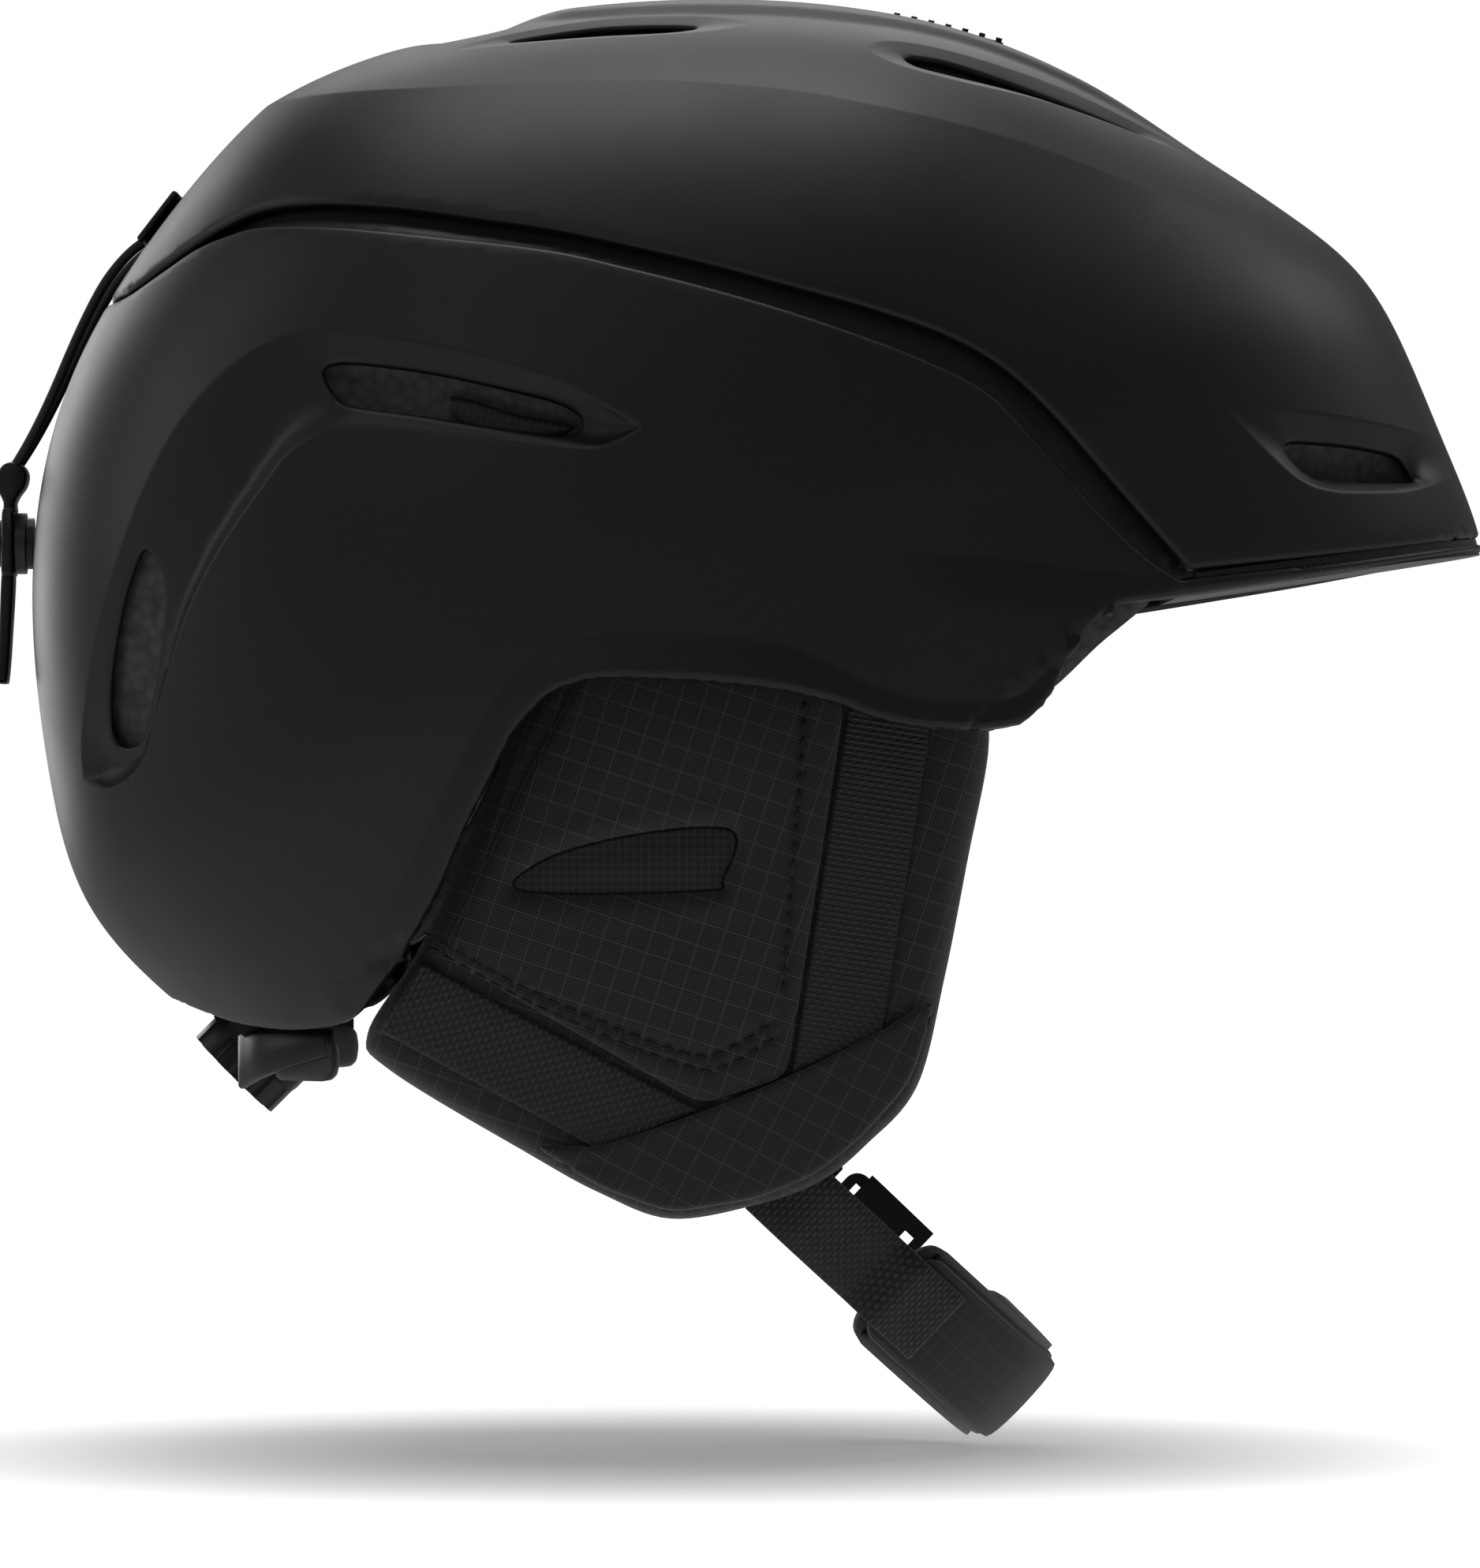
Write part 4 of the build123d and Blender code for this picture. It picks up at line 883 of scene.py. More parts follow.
def lower_relief(flat, base):
    out = -side_recess(flat, base)
    low = smooth(LOWER_EDGE)
    bend = smooth(LIP_BEND)
    lip = shell_form.unwrap(np.concatenate([bend, low[::-1]]))
    turned = np.minimum(0.26 * gap_to(base, bend), 2.0) * ease((base[:, 0] + 64) / 14)
    out += np.where(inside(flat, lip), turned, 0)
    port = smooth(PORT_BEND)
    x = base[:, 0]
    below = base[:, 2] < np.interp(x, port[:, 0], port[:, 1])
    flare = np.minimum(0.17 * gap_to(base, port), 1.5)
    out += np.where(below & (base[:, 2] > -40), flare * ease((x - 46) / 16) * ease((104 - x) / 8), 0)
    edge = np.concatenate([smooth(LIP_TOP)[::-1], gutter_line[::-1][1:]])
    out += rolled(gap_to(base, edge), 1.1)
    out += rolled(gap_to(base, np.concatenate([smooth(LIP_LOW), low[1:]])), 1.5)
    return roll_into_vents(out, base, LOWER_VENTS)


def make_shells():
    edge = to_rim(upper_line, 0)
    brim = to_rim(smooth(BRIM_EDGE), -1)
    arc = rim_arc(angle_of(brim[-1]), angle_of(edge[0]))
    outline = np.concatenate([edge, brim[1:], arc[1:-1]])
    holes = [vent_loops[key] for key in UPPER_VENTS]
    bends = [smooth(CREASE), brow_recess, crown_rear_recess, crown_front_recess]
    lines = [shell_form.unwrap(line) for line in bends]
    upper = shell_patch("upper_shell_skin", outline, holes, lines, upper_relief)
    dress(upper, "shell", "shell", replaces=["upper_shell"])

    edge = to_rim(gutter_line, 0)
    top, low = to_rim(smooth(LIP_TOP), -1), to_rim(smooth(LIP_LOW), 0)
    bottom = to_rim(smooth(LOWER_EDGE), -1)
    tip = rim_arc(angle_of(top[-1]), angle_of(low[0]), 0.02)
    back = rim_arc(angle_of(bottom[-1]) + 2 * math.pi, angle_of(edge[0]))
    outline = np.concatenate([edge, top[1:], tip[1:-1], low, bottom[1:], back[1:-1]])
    holes = [vent_loops[key] for key in LOWER_VENTS]
    lines = [shell_form.unwrap(smooth(line)) for line in (RECESS_OUTER, RECESS_INNER, LIP_BEND, PORT_BEND)]
    lower = shell_patch("lower_shell_skin", outline, holes, lines, lower_relief)
    dress(lower, "shell", "shell", replaces=["lower_shell"])


def make_gutter():
    """The sunk band between the shells, deepest just under the crown shell's edge."""
    top, low = to_rim(upper_line + [0, 2.4], 0), to_rim(gutter_line - [0, 1.8], 0)
    outline = np.concatenate([top, low[::-1], rim_arc(angle_of(low[0]), angle_of(top[0]), 0.02)[1:-1]])

    def relief(flat, base):
        near_top, near_low = gap_to(base, upper_line), gap_to(base, gutter_line)
        share = near_top / np.maximum(near_top + near_low, 1e-6)
        return -2.9 + 1.5 * share**1.5

    band = shell_patch("gutter_band", outline, [], [], relief, thick=0.8)
    dress(band, "gutter", "gutter", replaces=["channel_band"])


# ---- slabs --------------------------------------------------------------------------------
def close_slab(name, faces, outer, inner, mirrored, open_edge=None):
    """A solid slab between two sheets that share their faces; mirrored adds the other half."""
    count = len(outer)
    seen = {}
    for a, b, c in faces:
        for edge in ((a, b), (b, c), (c, a)):
            seen[edge] = 1
    walls = []
    for a, b in seen:
        if (b, a) not in seen and not (open_edge is not None and open_edge[a] and open_edge[b]):
            walls.append((b, a, a + count, b + count))
    half = [tuple(f) for f in faces] + [tuple(i + count for i in reversed(f)) for f in faces] + walls
    points = np.concatenate([outer, inner])
    if mirrored:
        total = len(points)
        half += [tuple(i + total for i in reversed(f)) for f in half]
        points = np.concatenate([points, points * [1, -1, 1]])
    piece = make_mesh(name, points, half)
    heal(piece, 0.01)
    return piece


def form_slab(name, form, outline, holes, lines, outer, inner, step=0.03):
    """A slab on a form, from two depth functions of (flat, base), merged at the middle plane."""
    flat, faces = fill(outline, holes, lines, step, [-0.012, 0.012, -0.03, 0.03])
    base, normal = form.wrap(flat), form.normals(flat)
    rim = np.hypot(flat[:, 0], flat[:, 1]) > RIM - 1e-4
    return close_slab(name, faces, outer(flat, base, normal), inner(flat, base, normal), True, rim)


def pillow(gap, radius, swell=0.0, spread=12.0):
    """How far a stuffed face stands off: rolled down at its seam, swelling away from it."""
    return rolled(gap, radius) + swell * (1 - np.exp(-gap / spread))


# ---- foam liner, screens and comfort pads -------------------------------------------------
POCKETS = (("side", 4.0), ("rear", 1.4), ("brow", 4.0), ("crown_rear", 2.5), ("crown_front", 2.5))
LINER_EDGE = [
    (101, 1.5), (88, -9), (74, -20), (70, -5), (40, -4), (0, -4), (-27, -5), (-28, -31), (-37, -51),
    (-44, -64), (-52, -71), (-75, -72), (-95, -71),
]
LINER_BROW = [(101, 1.5), (130, 5.2), (160, 9.5)]
NET_OUTLINE = [(-37, 37.5), (-24, 34.0), (-13, 31.5), (-20, 29.4), (-34, 31.4)]


def liner_depth(flat, base):
    """How deep the foam's outer face lies, with a shallow pocket behind each vent."""
    depth = FOAM_DEPTH + np.where(base[:, 2] > -60, side_recess(flat, base), 0)
    depth += np.maximum(-crown_relief(flat, base), 0)
    band = np.minimum(gap_to(base, upper_line), gap_to(base, gutter_line))
    depth += 2.2 * ease((7 - band) / 3)
    for key, deep in POCKETS:
        rim = gap_to_loop(base, vent_loops[key])
        floor, lip = ease(0.35 + rim / 5), 0.35 * ease(1 - rim / 2.5)
        depth += deep * np.where(inside(flat, vent_loops[key]), floor, lip)
    return depth


def make_liner():
    tip = to_rim(smooth(LINER_BROW, 2.0), -1)[1:]
    low = to_rim(smooth(LINER_EDGE, 2.0), -1)
    arc = rim_arc(angle_of(tip[-1]), angle_of(low[-1]) + 2 * math.pi, 0.03)
    outline = np.concatenate([tip[::-1], low, arc[::-1][1:-1]])

    def outer(flat, base, normal):
        return base - normal * liner_depth(flat, base)[:, None]

    def inner(flat, base, normal):
        ribs = 1.1 * ease((np.abs(np.sin(flat[:, 0] * 5.5)) - 0.72) / 0.14)
        tilt = np.hypot(flat[:, 0], flat[:, 1])
        return head_form.wrap(flat, -ribs * (tilt > 0.75))

    loops = [vent_loops[key] for key, _ in POCKETS]
    closed = [np.concatenate([loop, loop[:1] * 0.9999 + loop[1:2] * 0.0001]) for loop in loops]
    liner = form_slab("foam_liner_body", shell_form, outline, [], closed, outer, inner, 0.026)
    dress(liner, "foam", "foam", replaces=["foam_liner"])

    def sheet(depth):
        return lambda flat, base, normal: base - normal * depth

    net = shell_form.unwrap(smooth(NET_OUTLINE, 1.2, closed=True))
    screen = form_slab("vent_net", shell_form, net, [], [], sheet(5.6), sheet(6.4), 0.02)
    dress(screen, "net", "mesh", replaces=["vent_screens"])


def head_pad(name, node, outline, sewn=None):
    """A padded piece on the foam's inner face, rolled down along the sewn part of its outline."""
    if sewn is None:
        sewn = np.hypot(outline[:, 0], outline[:, 1]) < NEAR_RIM
    edge = head_form.wrap(outline[sewn])

    def back(flat, base, normal):
        return head_form.wrap(flat, 0.25)

    def skin(flat, base, normal):
        return head_form.wrap(flat, 3.3 + pillow(distance(base, edge), 2.6, 0.9, 6.0))

    piece = form_slab(name, head_form, outline, [], [], back, skin, 0.028)
    dress(piece, "lining", "lining", replaces=[node])


def make_comfort_pads():
    """Brow band, crown cross and temple pads."""
    upper = to_rim(smooth([(46, 22), (70, 22), (93, 21)], 2.0), -1, head_form)
    lower = to_rim(smooth([(94, 5), (72, 5), (46, 5)], 2.0), 0, head_form)
    arc = rim_arc(angle_of(upper[-1]), angle_of(lower[0]), 0.02)
    outline = np.concatenate([upper, arc[1:-1], lower, smooth([lower[-1], upper[0]], 0.03)[1:-1]])
    away = np.hypot(outline[:, 0], outline[:, 1]) < NEAR_RIM
    start = int(np.argmin(away))
    head_pad("brow_cushion", "brow_pad", np.roll(outline, -start, 0), np.roll(away, -start))

    flat = head_form.unwrap(smooth([(-58, 68), (-36, 80), (-12, 86.5), (14, 87), (38, 81.5)], 2.5))
    size = np.linalg.norm(flat, axis=1)[:, None]
    inwards = flat * (1 - 0.105 / size)
    rim = flat / size * RIM
    left, right = inwards[inwards[:, 0] < -0.14], inwards[inwards[:, 0] > 0.10]
    turns = [(-0.13, 0.9), (-0.12, 0.72), (-0.02, 0.66), (0.08, 0.72), (0.09, 0.9)]
    arm = smooth([left[-1], *turns, right[0]], 0.03)
    outline = np.concatenate([left, arm[1:-1], right, rim[::-1]])
    head_pad("crown_cushion", "crown_pad", outline)

    box = smooth([(-32, 8), (-28, 24), (0, 26), (28, 24), (32, 8), (0, 6)], 2.0, closed=True)
    outline = head_form.unwrap(box)
    head_pad("temple_cushions", "temple_pads", outline, np.ones(len(outline), bool))


# ---- ear pads -----------------------------------------------------------------------------
def ear_face(xz, reach):
    """Points at a reach on the ear pad's doubly curved face, right-hand side."""
    across = EAR_CURVE_X - EAR_DATUM
    along = EAR_CURVE_Z - EAR_CURVE_X
    bowed = np.sqrt((across + reach) ** 2 - xz[:, 0] ** 2)
    y = across + along - np.sqrt((along + bowed) ** 2 - (xz[:, 1] - EAR_CENTRE_Z) ** 2)
    return np.stack([xz[:, 0], y, xz[:, 1]], 1)


def ear_slab(outline, holes, lines, inner, outer, step, rows):
    """One layer of the ear pad. inner and outer give the reach at flat points (x, z)."""
    flat, faces = fill(outline, holes, lines, step, [s * r for r in rows for s in (-1, 1)])
    gap = distance(flat, outline, closed=True)
    for hole in holes:
        gap = np.minimum(gap, distance(flat, hole, closed=True))
    return faces, ear_face(flat, outer(flat, gap)), ear_face(flat, inner(flat, gap))


def soften(points, radius=3.0, step=1.4):
    """A polygon with its corners rounded off."""
    points = [np.array(p, float) for p in points]
    line = []
    for before, at, after in zip([points[-1], *points[:-1]], points, [*points[1:], points[0]]):
        back, ahead = before - at, after - at
        reach = min(radius, 0.45 * np.linalg.norm(back), 0.45 * np.linalg.norm(ahead))
        start = at + back / np.linalg.norm(back) * reach
        end = at + ahead / np.linalg.norm(ahead) * reach
        line += [(1 - t) ** 2 * start + 2 * t * (1 - t) * at + t * t * end for t in (0, 0.25, 0.5, 0.75, 1)]
    full = []
    for a, b in zip(line, [*line[1:], line[0]]):
        pieces = max(1, int(np.linalg.norm(b - a) / step))
        full += [a + (b - a) * k / pieces for k in range(pieces)]
    return np.array(full)


def groove(flat, line, depth, width):
    return depth * np.exp(-((distance(flat, line) / width) ** 2))


def stitches(runs, reach, length=2.3, pitch=3.3, radius=0.28):
    """Short sewn stitches along lines on the ear pad's face: points and faces of small rods."""
    points, faces = [], []
    for run in runs:
        steps = np.linalg.norm(np.diff(run, axis=0), axis=1)
        at = np.concatenate([[0], np.cumsum(steps)])
        for k in range(int(at[-1] / pitch)):
            ends = [k * pitch + share * length for share in (0.02, 0.25, 0.75, 0.98)]
            centre = np.stack([np.interp(ends, at, run[:, i]) for i in (0, 1)], 1)
            line = ear_face(centre, np.array([reach - 0.35, reach, reach, reach - 0.35]))
            ahead = line[-1] - line[0]
            ahead /= np.linalg.norm(ahead)
            beside = np.cross(ahead, [0, -1.0, 0])
            up = np.cross(beside, ahead)
            first = len(points)
            for p, wide in zip(line, (0.5, 1, 1, 0.5)):
                for turn in range(6):
                    angle = turn * math.pi / 3
                    points.append(p + radius * wide * (beside * math.cos(angle) + up * math.sin(angle)))
            for ring in range(3):
                for turn in range(6):
                    a, b = first + ring * 6 + turn, first + ring * 6 + (turn + 1) % 6
                    faces.append((a, b, b + 6, a + 6))
            faces.append(tuple(first + i for i in reversed(range(6))))
            faces.append(tuple(first + 18 + i for i in range(6)))
    return points, faces


def make_ear_pads():
    pad = smooth(EAR_PAD, 2.0)
    pad = np.concatenate([pad, smooth([EAR_PAD[-1], EAR_PAD[0]], 2.0)[1:-1]])
    panel = soften(EAR_PANEL_OUTLINE, 3.5, 1.4)
    window = smooth(EAR_WINDOW, 1.0, closed=True)
    front, rear = soften(FRONT_WEBBING, 0.8), soften(REAR_WEBBING, 0.8)
    cuff = soften(CUFF_OUTLINE, 4.0)
    side_seam = smooth(SIDE_SEAM, 1.5)
    low_seams = [smooth(LOW_SEAM, 1.5), smooth([(x + 0.8, z - 2.6) for x, z in LOW_SEAM], 1.5)]
    hem = smooth(CUFF_HEM, 1.5)
    rim = [(x + (1.8 if x > 0 else -1.8), z + (2.2 if z > -52 else -3.2)) for x, z in EAR_WINDOW]
    moulding = smooth(rim, 1.0, closed=True)

    def level(value):
        return lambda flat, gap: np.full(len(flat), value)

    def cover(flat, gap):
        under = np.minimum(distance(flat, rear, True), distance(flat, front, True))
        under[inside(flat, front) | inside(flat, rear) | inside(flat, panel) | inside(flat, cuff)] = 0
        return COVER_REACH[1] + rolled(gap, 4.5) + 1.8 * ease(under / 5) * ease(gap / 6)

    def cover_back(flat, gap):
        return COVER_REACH[0] - rolled(gap, 4.0)

    def skin_back(flat, gap):
        return LINING_REACH[0] - rolled(gap, 1.9)

    def face(flat, gap):
        out = PANEL_REACH[1] + rolled(gap, 1.4) + 1.1 * (1 - np.exp(-gap / 9))
        out -= groove(flat, side_seam, 0.55, 0.9)
        for line in low_seams:
            out -= groove(flat, line, 0.45, 0.8)
        out -= groove(flat, side_seam + [2.4, 0.4], -0.30, 1.0)
        out -= groove(flat, low_seams[0] + [-0.5, 2.4], -0.35, 1.0)
        return out + groove(flat, moulding, 0.75, 1.3) - groove(flat, window, 0.9, 1.4)

    def net(flat, gap):
        return NET_REACH[1] + 0.5 * ease(gap / 5)

    def strap(flat, gap):
        return STRAP_REACH[1] + rolled(gap, 0.7)

    def band(flat, gap):
        fold = np.exp(-(((distance(flat, hem) - 3.4) / 0.7) ** 2))
        return CUFF_REACH[1] + rolled(gap, 1.2) + 0.5 * (1 - np.exp(-gap / 7)) - 0.5 * fold

    back = level(PANEL_REACH[0])
    layers = [  # piece, node, outline, holes, lines, inner, outer, step, rows, material, slot
        ("ear_cover", "ear_foam", pad, [], [], cover_back, cover, 3.4, (0.7, 1.8, 3.4), "panel", "pad"),
        ("ear_skin", "ear_lining", pad * 0.985 + [0.1, -0.9], [], [], skin_back, level(LINING_REACH[1]), 4.0,
         (0.8, 2.0), "lining", "lining"),
        ("ear_face", "ear_panel", panel, [window], [side_seam, *low_seams], back, face, 2.2,
         (0.4, 1.0, 1.9), "panel", "panel"),
        ("ear_net", "ear_mesh", window, [], [], level(NET_REACH[0]), net, 1.6, (0.5,), "mesh", "mesh"),
        ("ear_strap_front", "ear_webbing_front", front, [], [], back, strap, 2.6, (0.3, 0.8), "webbing",
         "webbing"),
        ("ear_strap_rear", "ear_webbing_rear", rear, [], [], back, strap, 2.6, (0.3, 0.8), "webbing_rear",
         "webbing"),
        ("ear_band", "ear_cuff", cuff, [], [hem], level(CUFF_REACH[0]), band, 2.4, (0.4, 1.0, 2.2), "cuff",
         "panel"),
    ]
    points, rods = stitches([side_seam, *low_seams], STITCH_REACH)
    for side, sign in (("right", 1), ("left", -1)):
        flip = [1, sign, 1]
        for name, node, *shape, finish, slot in layers:
            faces, outer, inner = ear_slab(*shape)
            turned = faces if sign > 0 else faces[:, ::-1]
            piece = close_slab(f"{name}_{side}", turned, outer * flip, inner * flip, False)
            dress(piece, finish, slot, f"ear_pad_{side}", [f"{node}_{side}"])
        thread = make_mesh(f"ear_stitches_{side}", np.array(points) * flip, rods)
        dress(thread, "thread", "webbing", f"ear_pad_{side}")


# ---- chin strap ---------------------------------------------------------------------------
def strap_frame(along, across, normal):
    """Turns rows of (along the chin, down, across the strap) into points."""
    middle = np.array(STRAP_MIDDLE)
    down = np.array([STRAP_DOWN[0], 0, STRAP_DOWN[2]])
    wide = np.array([STRAP_DOWN[2], 0, -STRAP_DOWN[0]])
    return middle + np.outer(along, [0, 1, 0]) + np.outer(across, down) + np.outer(normal, wide)


def lay_strip(name, run, span, section, frame_of, step=1.6):
    """A strip swept along a smooth flat run; section(before, after) gives a loop of (off, side)."""
    line = smooth(run, 0.8)
    at = np.concatenate([[0], np.cumsum(np.linalg.norm(np.diff(line, axis=0), axis=1))])
    count = max(4, int((span[1] - span[0]) * at[-1] / step))
    stations = np.linspace(span[0] * at[-1], span[1] * at[-1], count)
    along = np.gradient(line, axis=0)
    along /= np.linalg.norm(along, axis=1)[:, None]
    rings, reach = [], (stations[0], stations[-1])
    for s in stations:
        centre = np.array([np.interp(s, at, line[:, i]) for i in (0, 1)])
        ahead = np.array([np.interp(s, at, along[:, i]) for i in (0, 1)])
        ahead /= np.linalg.norm(ahead)
        loop = np.array(section(s - reach[0], reach[1] - s))
        flat = centre + np.outer(loop[:, 0], [-ahead[1], ahead[0]])
        rings.append(frame_of(flat[:, 0], flat[:, 1], loop[:, 1]))
    count = len(rings[0])
    faces = []
    for k in range(len(rings) - 1):
        for i in range(count):
            j = (i + 1) % count
            faces.append((k * count + i, k * count + j, (k + 1) * count + j, (k + 1) * count + i))
    last = (len(rings) - 1) * count
    faces += [tuple(range(count)), tuple(reversed(range(last, last + count)))]
    piece = make_mesh(name, np.concatenate(rings), faces)
    layer = piece.data.uv_layers.new(name="strip")
    for loop in piece.data.loops:
        k, i = divmod(loop.vertex_index, count)
        side = section(stations[k] - reach[0], reach[1] - stations[k])[i][1]
        layer.data[loop.index].uv = (side * MM, stations[k] * MM)
    heal(piece)
    return piece


def flat_section(low, high, half, bevel=0.4):
    """A thin strip's cross section with softened edges."""
    across = [-half, -half + bevel, -half / 2, 0, half / 2, half - bevel, half]

    def section(before, after):
        top = [(high - (bevel if abs(a) == half else 0), a) for a in across]
        under = [(low + (bevel if abs(a) == half else 0), a) for a in reversed(across)]
        return top + under

    return section


def pad_section(flat_side, crown, half, corner):
    """A stuffed strip's cross section: flat on one side, crowned on the other, with round ends."""
    def section(before, after):
        end = min(before, after)
        taper = math.sqrt(max(0.02, 1 - max(0.0, 1 - end / corner) ** 2))
        wide = half - corner + corner * taper
        turns = np.linspace(0, math.pi, 13)
        high = (crown - flat_side) * (0.35 + 0.65 * taper)
        bow = [(flat_side + high * math.sin(t) ** 0.45, -wide * math.cos(t)) for t in turns]
        return bow + [(flat_side, wide * share) for share in (0.6, 0.2, -0.2, -0.6)]

    return section


def round_section(at, radius=0.75):
    """A thin cord's cross section, off the middle of the strap."""
    turns = np.linspace(0, 2 * math.pi, 9)[:-1]
    loop = [(radius * math.sin(t), at + radius * math.cos(t)) for t in turns]
    return lambda before, after: loop


def make_chin_strap():
    half = WEBBING_THICK / 2
    cover_half = CHIN_PAD_WIDTH / 2 - 1.4
    for side, run in (("right", RIGHT_RUN), ("left", LEFT_RUN)):
        along, down = run[0]
        root = (along * 1.01, down - STRAP_ROOT)
        section = flat_section(-half, half, WEBBING_WIDTH / 2)
        web = lay_strip(f"chin_web_{side}", [root, *run], (0, 1), section, strap_frame, 0.9)
        dress(web, "strap_web", "webbing", None, [f"chin_webbing_{side}"])
        start, end = (strap_frame([along], [down + off], [0])[0] * MM for off in (-4.0, 4.0))
        tuple(start)
        tuple(end)
        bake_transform(web)
    section = pad_section(half + 0.05, half + 2.3, cover_half, 5.0)
    cover = lay_strip("chin_cover", RIGHT_RUN, PAD_SPAN, section, strap_frame, 1.2)
    dress(cover, "strap_cover", "panel", "chin_strap_right", ["chin_pad_cover"])

    def sewn_end(before, after):
        rise = half - 1.25 + 3.55 * ease(before / 7)
        return [(off + rise, side) for off, side in flat_section(-0.1, 1.2, WEBBING_WIDTH / 2)(before, after)]

    end_span = (PAD_SPAN[0] - 0.045, PAD_SPAN[0] + 0.08)
    web_end = lay_strip("chin_web_end", RIGHT_RUN, end_span, sewn_end, strap_frame, 0.9)
    dress(web_end, "strap_web", "webbing", "chin_strap_right")
    section = pad_section(-half - 0.05, -half - 5.0, CHIN_PAD_WIDTH / 2 + 0.6, 5.5)
    fleece = lay_strip("chin_fleece", RIGHT_RUN, PAD_SPAN, section, strap_frame, 1.2)
    dress(fleece, "lining", "lining", "chin_strap_right", ["chin_pad_fleece"])
    for side, at in (("low", 0.1 - cover_half), ("high", cover_half - 0.1)):
        piping = lay_strip(
            f"chin_piping_{side}", RIGHT_RUN, (PAD_SPAN[0] + 0.02, PAD_SPAN[1] - 0.02), round_section(at),
            strap_frame,
        )
        dress(piping, "trim", "panel", "chin_strap_right")


# ---- keeper cord and fit pads -------------------------------------------------------------
def make_cords():
    """The keeper's two elastic strands, from the anchor bar to the tab's hook."""
    for side, sign in (("left", 1), ("right", -1)):
        curve = bpy.data.curves.new(f"keeper_strand_{side}", "CURVE")
        curve.dimensions = "3D"
        curve.bevel_depth = CORD_RADIUS * MM
        curve.bevel_resolution = 5
        curve.use_fill_caps = True
        spline = curve.splines.new("NURBS")
        spline.points.add(len(CORD_ROUTE) - 1)
        route = [(x * MM, sign * y * MM, z * MM) for x, y, z in CORD_ROUTE]
        for point, place in zip(spline.points, route):
            point.co = (*place, 1)
        spline.order_u = 3
        spline.use_endpoint_u = True
        curve.resolution_u = 24
        strand = bpy.data.objects.new(f"keeper_strand_{side}", curve)
        bpy.context.collection.objects.link(strand)
        dress(strand, "cord", "cord", "keeper", ["keeper_cord"])
        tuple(route[0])


def plate(outline, half, edge=0.6):
    """Points and faces of a flat plate across the helmet, its side outline given clockwise from +X."""
    line = smooth(outline, 0.6, closed=True)
    along = np.roll(line, -1, 0) - np.roll(line, 1, 0)
    inward = np.stack([along[:, 1], -along[:, 0]], 1) / np.linalg.norm(along, axis=1)[:, None]
    steps = [(-half, edge), (-half + 0.3 * edge, 0.3 * edge), (-half + edge, 0)]
    rings = []
    for y, inset in steps + [(-y, inset) for y, inset in reversed(steps)]:
        ring = line + inward * inset
        rings.append(np.stack([ring[:, 0], np.full(len(ring), y), ring[:, 1]], 1))
    count = len(line)
    faces = [tuple(range(count)), tuple(range(6 * count - 1, 5 * count - 1, -1))]
    for ring in range(5):
        for i in range(count):
            a, b = ring * count + i, ring * count + (i + 1) % count
            faces.append((a, a + count, b + count, b))
    return np.concatenate(rings), faces


def make_keeper_tab():
    """The keeper's pull tab: a round head that holds the cord, the block of the press stud, the tail."""
    points, faces = [], []
    for outline, half in ((TAB_HEAD, 5.0), (TAB_BLOCK, 6.5), (TAB_TAIL, 4.5)):
        more, walls = plate(outline, half)
        faces += [tuple(i + len(points) for i in wall) for wall in walls]
        points += list(more)
    tab = make_mesh("keeper_tab_body", points, faces)
    heal(tab)
    dress(tab, "trim", "trim", "keeper", ["keeper_tab"])


def wing_section(before, after):
    """The fit arm's cross section: 2 mm thick, deepest near the housing, narrowing to its tip."""
    share = before / (before + after)
    middle, half = -0.8 + 4.2 * share, 5.4 - 2.8 * share
    high = [(0.0, half - 0.6), (0.5, half), (1.5, half), (2.0, half - 0.6)]
    low = [(off, -side) for off, side in reversed(high)]
    return [(off, middle + side) for off, side in [low[-1], *high, *low[:-1]]]


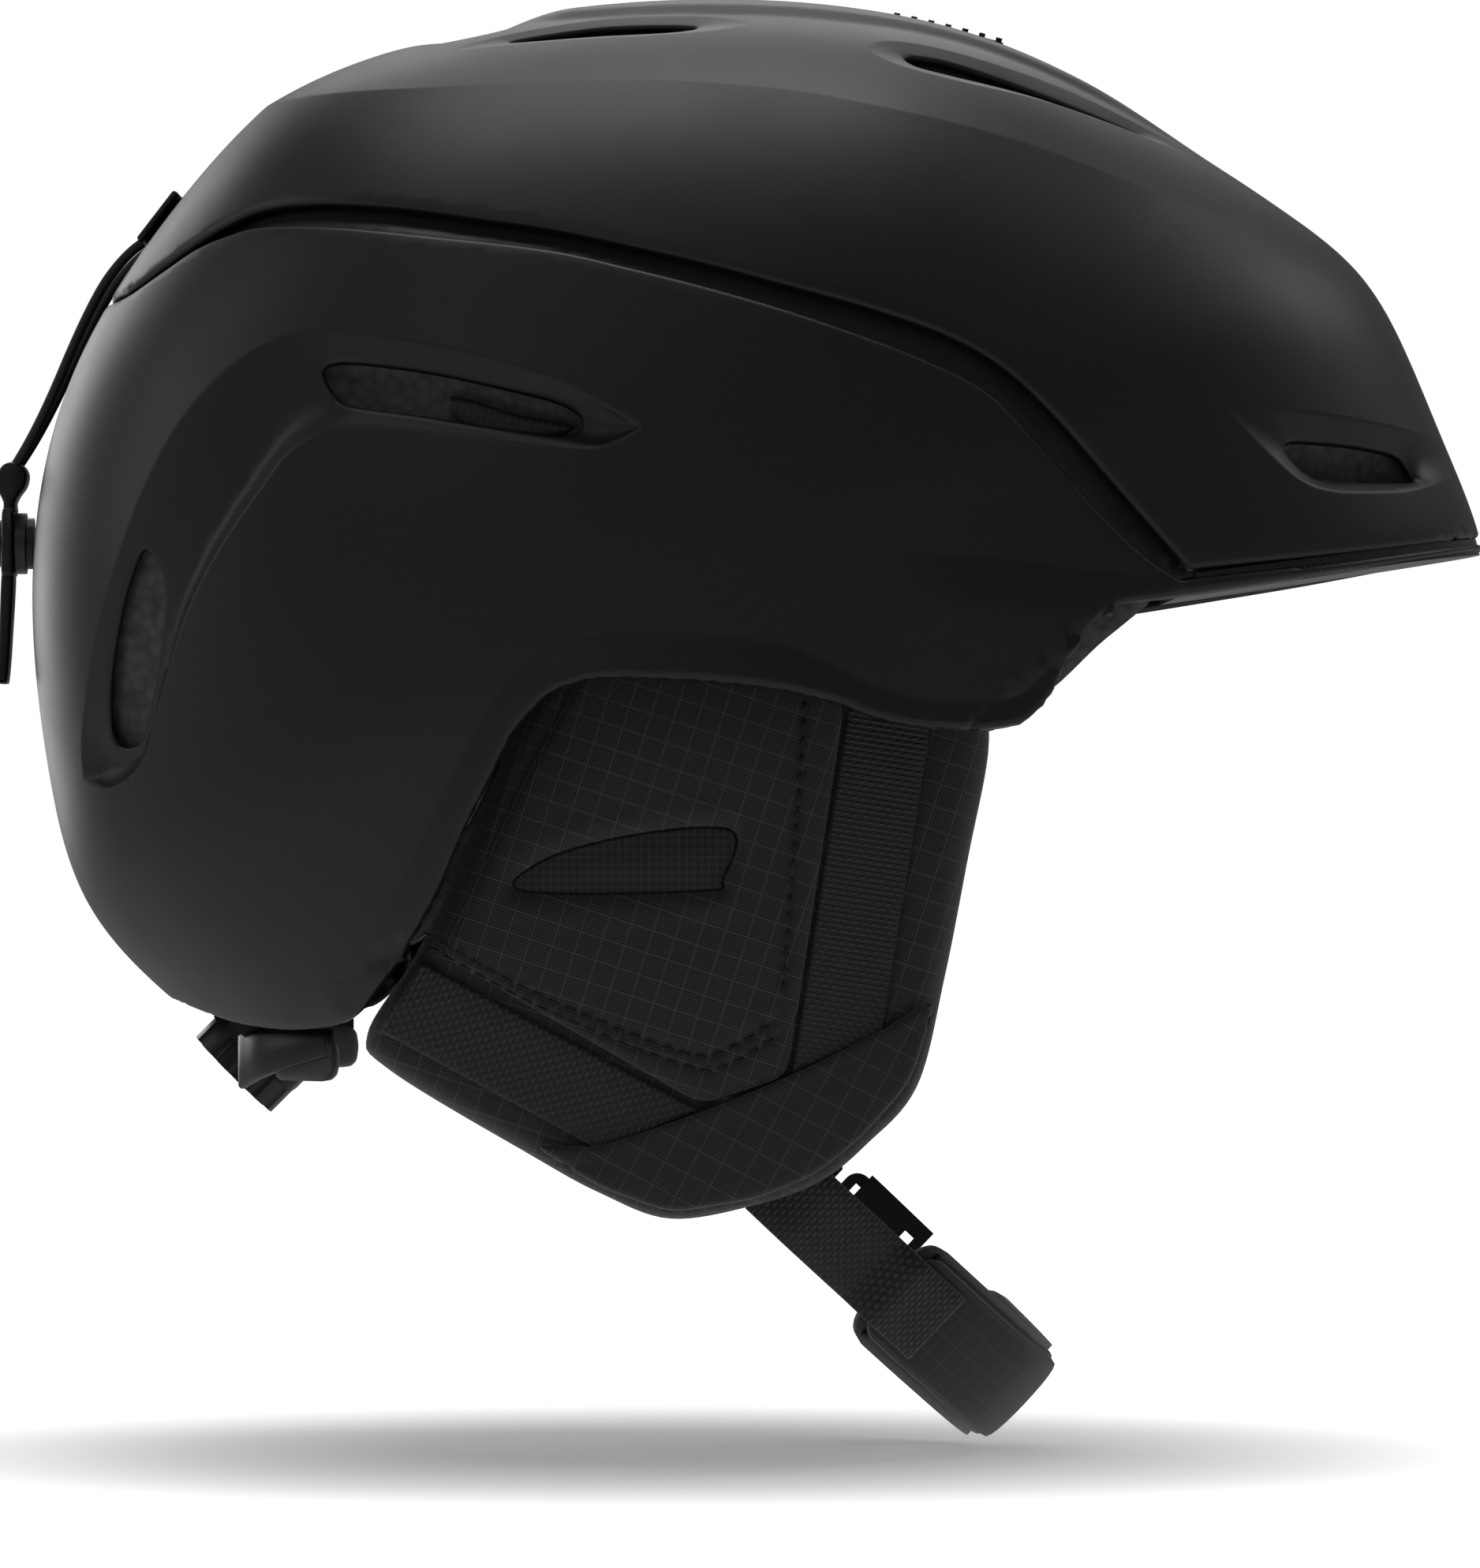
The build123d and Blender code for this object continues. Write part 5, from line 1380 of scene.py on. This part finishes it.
def make_fit_pads():
    """The nape arms and the cushions on their inner faces."""
    for side, sign in (("left", 1), ("right", -1)):
        def frame_of(x, y, off, sign=sign):
            return np.stack([x, sign * y, off + FIT_PAD_Z], 1)

        section = pad_section(-0.15, -3.3, 4.2, 3.0)
        pad = lay_strip(f"fit_cushion_{side}", FIT_ARM_RUN, (0.35, 1.0), section, frame_of, 0.9)
        dress(pad, "lining", "lining", f"fit_arm_{side}", [f"fit_pad_{side}"])
        wing = lay_strip(f"fit_wing_{side}", FIT_WING_RUN, (0, 1), wing_section, frame_of, 0.9)
        dress(wing, "trim", "trim", f"fit_arm_{side}", [f"fit_arm_{side}"])
        points, faces = [], []
        for across, along in RACK_BARS:
            first = len(points)
            for u, v, w in itertools.product(across, along, (-RACK_HALF, RACK_HALF)):
                away = (RACK_SLOPE * (sign * v - w), sign * u, -RACK_SLOPE * (sign * v + w))
                points.append(np.add(FIT_CENTRE, away))
            faces += [tuple(first + i for i in quad) for quad in BOX_QUADS]
        bars = make_mesh(f"fit_rack_{side}", points, faces, False)
        dress(bars, "trim", "trim", f"fit_arm_{side}", [f"fit_arm_{side}"])


record = frame["record"]
slots = {part["node"]: part["material_slot"] for part in record["subparts"]}
bodies = {node: body for body, nodes in record["behaviour"]["bodies"].items() for node in nodes}


def dress_frame():
    """Every CAD node that still shows gets the finish of its record slot."""
    for name, node in frame["nodes"].items():
        node.data.materials.clear()
        node.data.materials.append(MATERIALS[slots[name]])


def round_edges(name, width):
    """A copy of a CAD node's mesh with its sharp edges rounded, standing for the node."""
    def change(work):
        bmesh.ops.remove_doubles(work, verts=work.verts, dist=0.001 * MM)
        bmesh.ops.dissolve_limit(work, angle_limit=math.radians(1), verts=work.verts, edges=work.edges)
        inner = (edge for edge in work.edges if len(edge.link_faces) == 2)
        sharp = [edge for edge in inner if edge.calc_face_angle() > SHARP_ANGLE]
        bmesh.ops.bevel(
            work, geom=sharp, offset=width * MM, segments=2, profile=0.5, affect="EDGES",
            clamp_overlap=True,
        )
        bmesh.ops.triangulate(work, faces=[face for face in work.faces if len(face.verts) > 4])

    node = frame["nodes"][name]
    piece = bpy.data.objects.new(f"{name}_moulding", node.data.copy())
    piece.matrix_world = node.matrix_world
    bpy.context.collection.objects.link(piece)
    rework(piece, change)
    shade_smooth(piece)
    piece.data.set_sharp_from_angle(angle=SHADING_ANGLE)
    dress(piece, slots[name], slots[name], bodies[name], [name])


dress_frame()
make_camera()
make_floor()
make_light()
make_shells()
make_gutter()
make_liner()
make_comfort_pads()
make_ear_pads()
make_chin_strap()
make_cords()
make_keeper_tab()
make_fit_pads()
for name, width in ROUNDED.items():
    round_edges(name, width)
boxes = {"cad": cad_box, "visual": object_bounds()}
{name: [list(corner) for corner in box] for name, box in boxes.items()}
